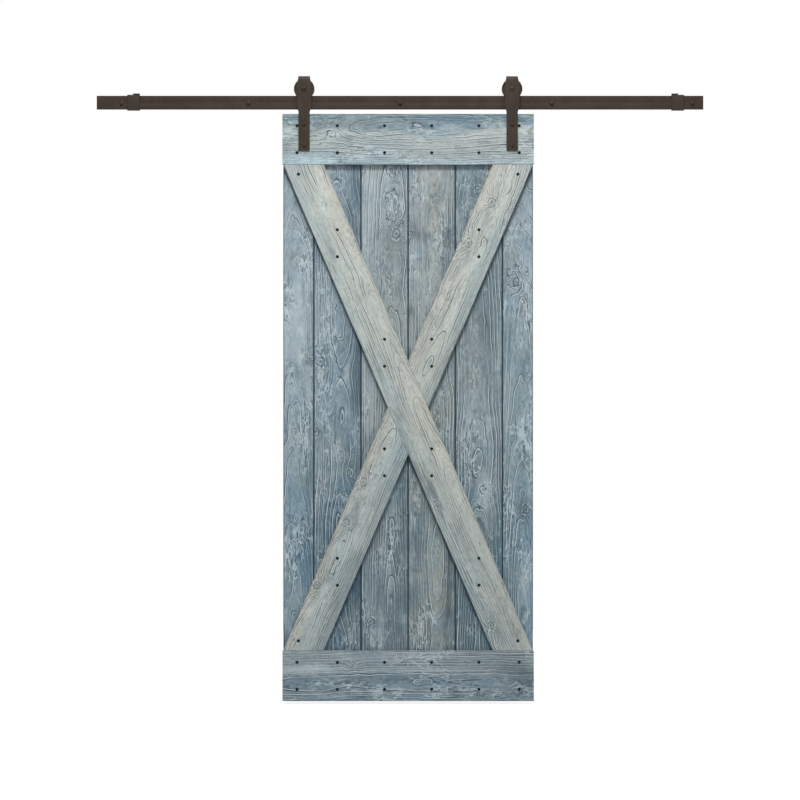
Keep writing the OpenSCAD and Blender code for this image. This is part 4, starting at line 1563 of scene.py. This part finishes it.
@dataclass
class Leaf(Assembly):
    """The door leaf: six planks, two rails, a long brace, two half braces and their screws."""

    brace_wide: float = 0.135
    brace_spare: float = 0.02
    tongue_long: float = 0.008
    butt_gap: float = 0.0003
    seam_ease: float = 0.0020
    screw_head: float = 0.00475
    screw_rim: float = 0.0005
    screw_crown: float = 0.0015
    screw_steps: int = 30
    socket: float = 0.0030

    def add(self, board: Board) -> None:
        """Makes one board and fixes it to the door."""
        piece = board.build(self.finishes.pine, self.finishes.sawn)
        self.keep(piece, "door", "pale_board" if "brace" in board.name else "stained_board")

    def planks(self) -> None:
        """Makes the six upright planks, whose tongues run into their right-hand neighbours."""
        last = len(PLANK_FINISHES) - 1
        for index, (finish, grain) in enumerate(zip(PLANK_FINISHES, PLANK_GRAINS)):
            low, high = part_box(f"plank_{index + 1}")
            tongued = index < last
            right = high.x - (self.tongue_long if tongued else 0.0)
            board = Board(
                f"plank_{index + 1}",
                right - low.x,
                high.z - low.z,
                high.y - low.y,
                Vector(((low.x + right) / 2, (low.y + high.y) / 2, (low.z + high.z) / 2)),
                0.0,
                grain,
                finish,
                Edge.GROOVE if index else Edge.PLAIN,
                Edge.TONGUE if tongued else Edge.PLAIN,
                shadow_casters=self.shadow_casters(),
                ease=self.seam_ease,
                tongue_long=self.tongue_long,
            )
            self.add(board)

    def irons(self, board: str) -> tuple[Vector, ...]:
        """Where the face screws of one board sit."""
        return tuple((low + high) / 2 for low, high in islands(board + "_screws"))

    def rails(self) -> None:
        """Makes the top and bottom rails."""
        rails = (
            ("top_rail", TOP_RAIL_GRAIN, TOP_RAIL_FINISH),
            ("bottom_rail", BOTTOM_RAIL_GRAIN, BOTTOM_RAIL_FINISH),
        )
        for name, grain, finish in rails:
            low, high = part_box(name)
            size, middle, lean = high - low, (low + high) / 2, -math.pi / 2
            irons = self.irons(name)
            self.add(
                Board(name, size.z, size.x, size.y, middle, lean, grain, finish, irons=irons)
            )

    def opening(self) -> tuple[Vector, Vector, float]:
        """The space between the rails, as its two corners, and the lean of the braces in it."""
        top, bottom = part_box("top_rail")[0].z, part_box("bottom_rail")[1].z
        front, back = (corner.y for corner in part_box("long_brace"))
        low = Vector((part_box("plank_1")[0].x, front, bottom))
        high = Vector((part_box("plank_6")[1].x, back, top))
        wide, tall = high.x - low.x, high.z - low.z
        lean = math.acos(self.brace_wide / math.hypot(wide, tall)) - math.atan2(tall, wide)
        return low, high, lean

    def shadow_casters(self) -> tuple[Plane, ...]:
        """The undersides of the top rail and the braces, as points and the ways out of them, below
        which a shadow is painted on the planks.
        """
        low, high, lean = self.opening()
        centre, half = (low + high) / 2, self.brace_wide / 2
        down_left = Vector((-math.cos(lean), 0, -math.sin(lean)))
        down_right = Vector((math.cos(lean), 0, -math.sin(lean)))
        return (
            (high, Vector((0, 0, -1))),
            (centre + down_left * half, down_left),
            (centre + down_right * half, down_right),
        )

    def braces(self) -> None:
        """Makes the long brace and the two halves that butt against it."""
        low, high, lean = self.opening()
        centre, size = (low + high) / 2, high - low
        full = size.z / math.cos(lean) + self.brace_wide * math.tan(lean) + self.brace_spare
        ends = (
            (low, Vector((-1, 0, 0))),
            (high, Vector((1, 0, 0))),
            (high - Vector((0, 0, self.butt_gap)), Vector((0, 0, 1))),
            (low + Vector((0, 0, self.butt_gap)), Vector((0, 0, -1))),
        )
        across = Vector((math.cos(lean), 0, math.sin(lean)))
        braces = (
            ("long_brace", 0, LONG_BRACE_GRAIN, LONG_BRACE_FINISH),
            ("upper_brace", 1, UPPER_BRACE_GRAIN, UPPER_BRACE_FINISH),
            ("lower_brace", -1, LOWER_BRACE_GRAIN, LOWER_BRACE_FINISH),
        )
        for name, way, grain, finish in braces:
            middle, length, turn, cuts = centre, full, -lean, ends
            if way:
                along = Vector((math.sin(lean), 0, math.cos(lean))) * way
                edge = centre + across * way * (self.brace_wide / 2 + self.butt_gap)
                middle, length, turn = centre + along * full / 4, full / 2, lean
                cuts = (*ends, (edge, -across * way))
            self.add(
                Board(
                    name,
                    self.brace_wide,
                    length,
                    size.y,
                    middle,
                    turn,
                    grain,
                    finish,
                    cuts=cuts,
                    irons=self.irons(name),
                )
            )

    def screws(self) -> None:
        """Makes the domed face screws with their hex sockets."""
        head, rim, crown, socket = self.screw_head, self.screw_rim, self.screw_crown, self.socket
        for board in ("top_rail", "bottom_rail", "long_brace", "upper_brace", "lower_brace"):
            node = board + "_screws"
            solids = islands(node)
            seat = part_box(board)[0].y
            tail = -(solids[0][1].y - seat)
            profile = (
                Row(0.0, rim),
                Row(socket * 0.50, rim, socket * 0.90),
                Row(socket * 0.577, crown * 0.88, socket),
                Row(socket * 0.72, crown * 0.95),
                Row(head * 0.66, crown * 0.78),
                Row(head * 0.86, crown * 0.56),
                Row(head * 0.97, rim * 1.1),
                Row(head, rim * 0.6),
                Row(head, 0.0),
                Row(head * 0.42, 0.0),
                Row(head * 0.42, tail * 0.9),
                Row(0.0, tail),
            )
            mesh = turned(profile, self.screw_steps)
            parts = [(mesh, facing_room(low, high, seat)) for low, high in solids]
            piece = set_out("screws_" + board, parts, self.finishes.black, (node,))
            self.keep(piece, "door", "black_screw")

    def build(self) -> None:
        """Makes the whole leaf."""
        self.planks()
        self.rails()
        self.braces()
        self.screws()


# ---------------------------------------------------------------- the track


@dataclass
class HexBolt:
    """Sizes of a hexagon bolt or lag: a chamfered head, a shank and a threaded tail."""

    flats: float = 0.013
    head: float = 0.0053
    shank: float = 0.004
    crest: float = 0.0038
    core: float = 0.0031
    lag_pitch: float = 0.0032
    lag_tread: float = 0.0010
    bolt_pitch: float = 0.00125
    bolt_tread: float = 0.0005

    def rows_of_head(self) -> tuple[Row, ...]:
        """The head's rings, from its top to its seat at height 0."""
        corner, half = self.flats / math.sqrt(3), self.flats / 2
        return (
            Row(0.0, self.head),
            Row(half * 0.90, self.head),
            Row(half * 0.96, self.head * 0.97),
            Row(corner * 0.97, self.head * 0.80, self.flats),
            Row(corner, self.head * 0.70, self.flats),
            Row(corner, self.head * 0.08, self.flats),
            Row(half * 0.94, 0.0),
        )

    def lag(self, plain: float, threaded: float, tip: float) -> Mesh:
        """Makes a lag bolt with a coarse thread and a point.

        Args:
            plain: length of plain shank under the head.
            threaded: length of thread after it.
            tip: length of the point.

        Returns:
            Its mesh, with its seat at height 0 and its head upwards.
        """
        rows = self.rows_of_head() + (
            Row(self.shank, 0.0),
            Row(self.shank, -plain + 0.0006),
            Row(self.core, -plain - 0.0004),
            Row(self.core, -plain - threaded),
            Row(self.core * 0.35, -plain - threaded - tip * 0.8),
            Row(0.0, -plain - threaded - tip),
        )
        top, length = -plain - 0.002, threaded - 0.003
        winding = Thread(
            self.core * 0.9, self.crest, top, length, self.lag_pitch, self.lag_tread
        )
        return turned(rows, thread=winding)

    def bolt(self, length: float, threaded: float) -> Mesh:
        """Makes a bolt with a fine thread over the last stretch of its length."""
        core = self.shank * 0.86
        rows = self.rows_of_head() + (
            Row(self.shank, 0.0),
            Row(self.shank, threaded - length),
            Row(core, threaded - length - 0.0005),
            Row(core, 0.0006 - length),
            Row(core * 0.84, -length),
            Row(0.0, -length),
        )
        top = threaded - length - 0.001
        winding = Thread(
            core * 0.93, self.shank, top, threaded - 0.002, self.bolt_pitch, self.bolt_tread
        )
        return turned(rows, thread=winding)


@dataclass
class Track(Assembly):
    """The flat bar on its wall spacers, its lag bolts and its two end stops."""

    ease: float = 0.0006
    lag_count: int = 5
    threaded: float = 0.042
    tip: float = 0.008

    def bar(self) -> None:
        """Makes the bar, its spacers and its washers with eased edges."""
        spacers = tuple(f"wall_spacer_{i + 1}" for i in range(self.lag_count))
        for nodes, name, ease, segments in (
            (("track_bar",), "track_rail", self.ease, 3),
            (spacers, "spacers", self.ease, 2),
            (("lag_washers",), "washers_on_track", self.ease / 2, 2),
        ):
            piece = eased_copy(nodes, name, self.finishes.bronze, ease, segments)
            self.keep(piece, "track", "bronze_steel")

    def lags(self) -> None:
        """Makes the lag bolts that hold the bar to the wall."""
        sizes = HexBolt()
        for index in range(self.lag_count):
            node = f"lag_bolt_{index + 1}"
            low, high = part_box(node)
            seat = low.y + sizes.head
            mesh = sizes.lag(high.y - seat - self.threaded - self.tip, self.threaded, self.tip)
            parts = [(mesh, facing_room(low, high, seat))]
            piece = set_out(f"lag_{index + 1}", parts, self.finishes.bronze, (node,))
            self.keep(piece, "track", "bronze_steel")

    def stops(self) -> None:
        """Makes the end stops with their rubber buffers and grub screws."""
        skins = self.finishes
        for side in Side:
            for node, name, skin, ease, segments, slot in (
                ("end_stop", "stop", skins.bronze, 1.5, 3, "bronze_steel"),
                ("stop_buffer", "buffer", skins.rubber, 1.2, 3, "rubber"),
                ("stop_grub_screws", "grub_screws", skins.black, 1 / 3, 2, "black_screw"),
            ):
                nodes, label = (f"{node}_{side.value}",), f"{name}_{side.value}"
                piece = eased_copy(nodes, label, skin, self.ease * ease, segments)
                self.keep(piece, "track", slot)

    def build(self) -> None:
        """Makes the whole track."""
        self.bar()
        self.lags()
        self.stops()


# ---------------------------------------------------------------- the hangers


@dataclass
class Hanger(Assembly):
    """One hanger: its bent strap and bolts on the door, and its grooved wheel on a bearing."""

    side: Side
    ease: float = 0.0006
    bolt_threaded: float = 0.014

    def iron(self) -> None:
        """Makes the strap, its washers and nuts, and the axle's bolt, nut and bushes."""
        end, skins = self.side.value, self.finishes
        for node, name, skin, ease, segments, slot in (
            ("strap", "hanger_strap", skins.bronze, 1.3, 3, "bronze_steel"),
            ("strap_washers", "back_washers", skins.zinc, 0.5, 2, "zinc"),
            ("strap_nuts", "back_nuts", skins.zinc, 0.5, 2, "zinc"),
            ("axle_bolt", "axle_pin", skins.bronze, 0.5, 2, "bronze_steel"),
            ("axle_nut", "axle_lock_nut", skins.zinc, 0.5, 2, "zinc"),
            ("axle_bushes", "bushes", skins.zinc, 0.5, 2, "zinc"),
        ):
            nodes, label = (f"{node}_{end}",), f"{name}_{end}"
            piece = eased_copy(nodes, label, skin, self.ease * ease, segments)
            self.keep(piece, "door", slot)

    def bolts(self) -> None:
        """Makes the two bolts through the leaf."""
        node = f"strap_bolts_{self.side.value}"
        sizes = HexBolt()
        parts = []
        for low, high in islands(node):
            seat = low.y + sizes.head
            mesh = sizes.bolt(high.y - seat, self.bolt_threaded)
            parts.append((mesh, facing_room(low, high, seat)))
        piece = set_out(f"leaf_bolts_{self.side.value}", parts, self.finishes.bronze, (node,))
        self.keep(piece, "door", "bronze_steel")

    def roller(self) -> None:
        """Makes the wheel and dresses its bearing, whose CAD solids stay as they are."""
        end = self.side.value
        wheel = eased_copy((f"wheel_{end}",), f"roller_{end}", self.finishes.bronze, self.ease, 3)
        self.keep(wheel, f"wheel_{end}", "bronze_steel")
        for part in ("bearing_inner", "bearing_outer", "bearing_balls"):
            mesh = bpy.data.objects[f"{part}_{end}"].data
            mesh.materials.clear()
            mesh.materials.append(self.finishes.bearing)

    def build(self) -> None:
        """Makes the whole hanger."""
        self.iron()
        self.bolts()
        self.roller()


# ---------------------------------------------------------------- the studio


@dataclass(frozen=True)
class Lamp:
    """A round soft lamp: where it hangs from the door's middle, its size, power and hue."""

    name: str
    offset: tuple[float, float, float]
    size: float
    power: float
    hue: tuple[float, float, float]

    def hang(self, target: Vector) -> None:
        """Hangs the lamp, pointed at its target."""
        light = bpy.data.lights.new(self.name, "AREA")
        light.shape = "DISK"
        light.size = self.size
        light.energy = self.power
        light.color = self.hue
        lamp = bpy.data.objects.new(self.name, light)
        place = target + Vector(self.offset)
        turn = (target - place).to_track_quat("-Z", "Y").to_matrix().to_4x4()
        lamp.matrix_world = Matrix.Translation(place) @ turn
        bpy.context.scene.collection.objects.link(lamp)


LAMPS = (
    Lamp("key", (-0.3, -3.2, 4.8), 1.3, 236.0, (1.0, 0.99, 0.98)),
    Lamp("fill", (3.2, -4.2, 0.6), 3.2, 22.0, (0.96, 0.98, 1.0)),
    Lamp("behind", (1.2, 4.0, 3.2), 2.6, 95.0, (1.0, 1.0, 1.0)),
)
WHITE = (1.0, 1.0, 1.0, 1.0)


@dataclass
class Studio:
    """A pale floor, a white surround, soft lamps and the camera straight before the door."""

    low: Vector
    high: Vector
    far: float = 14.0
    view_wide: float = 2.905
    camera_below: float = 0.0416
    sensor: float = 36.0
    floor_drop: float = 0.012
    floor_radius: float = 4.5
    floor_steps: int = 96
    floor_glow: float = 0.5
    surround_seen: float = 1.0
    surround_cast: float = 0.34

    def floor(self) -> None:
        """Lays a pale floor just under the door."""
        shell = bmesh.new()
        bmesh.ops.create_circle(
            shell, cap_ends=True, segments=self.floor_steps, radius=self.floor_radius
        )
        bmesh.ops.translate(shell, verts=shell.verts, vec=(0, 0, self.low.z - self.floor_drop))
        material, net, shader = new_material("pale_floor")
        cloud = net.noise(net.add("ShaderNodeTexCoord").outputs["Object"], 3.0, 0.5, 1.6)
        pale = net.mix(cloud, tone(246, 246, 246), tone(242, 242, 242))
        net.feed(shader.inputs["Base Color"], pale)
        net.feed(shader.inputs["Roughness"], net.step(cloud, 0.3, 0.7, 0.78, 0.86))
        shader.inputs["Emission Color"].default_value = WHITE
        seen = net.add("ShaderNodeLightPath").outputs["Is Camera Ray"]
        net.feed(shader.inputs["Emission Strength"], net.times(seen, self.floor_glow))
        to_piece("floor", shell, [material])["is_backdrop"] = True

    def surround(self) -> None:
        """Sets a white surround that is seen brighter than the light it casts."""
        world = bpy.data.worlds.new("white_surround")
        world.use_nodes = True
        net = Net(world.node_tree)
        sky = world.node_tree.nodes["Background"]
        sky.inputs["Color"].default_value = WHITE
        ray = net.add("ShaderNodeLightPath").outputs["Is Camera Ray"]
        extra = net.times(ray, self.surround_seen - self.surround_cast)
        net.feed(sky.inputs["Strength"], net.math("ADD", self.surround_cast, extra))
        bpy.context.scene.world = world

    def lights(self) -> None:
        """Hangs a key above the front, a weak fill from the right, and one behind."""
        for lamp in LAMPS:
            lamp.hang((self.low + self.high) / 2)

    def camera(self) -> None:
        """Sets the camera level and straight on, far off with a long lens."""
        lens = bpy.data.cameras.new("camera")
        lens.sensor_width = self.sensor
        middle = (self.low + self.high) / 2
        lens.lens = self.sensor * (self.far + self.low.y) / self.view_wide
        lens.clip_end = 100.0
        camera = bpy.data.objects.new("camera", lens)
        place = Vector((middle.x, -self.far, middle.z - self.camera_below))
        camera.matrix_world = Matrix.Translation(place) @ Matrix.Rotation(math.pi / 2, 4, "X")
        bpy.context.scene.collection.objects.link(camera)
        bpy.context.scene.camera = camera

    def build(self) -> None:
        """Sets up the whole studio, shown in plain display colours."""
        bpy.context.scene.view_settings.view_transform = "Standard"
        self.floor()
        self.surround()
        self.lights()
        self.camera()


def main() -> None:
    """Loads the frame, builds each sub-assembly over it and sets up the studio."""
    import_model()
    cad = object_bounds()
    finishes = Finishes.mix_up()
    leaf = Leaf(finishes)
    track = Track(finishes)
    hangers = [Hanger(finishes, side) for side in Side]
    for assembly in (leaf, track, *hangers):
        assembly.build()
        LOG.info("%s: %d pieces", type(assembly).__name__, len(assembly.pieces))
    Studio(*cad).build()


if __name__ == "__main__":
    main()
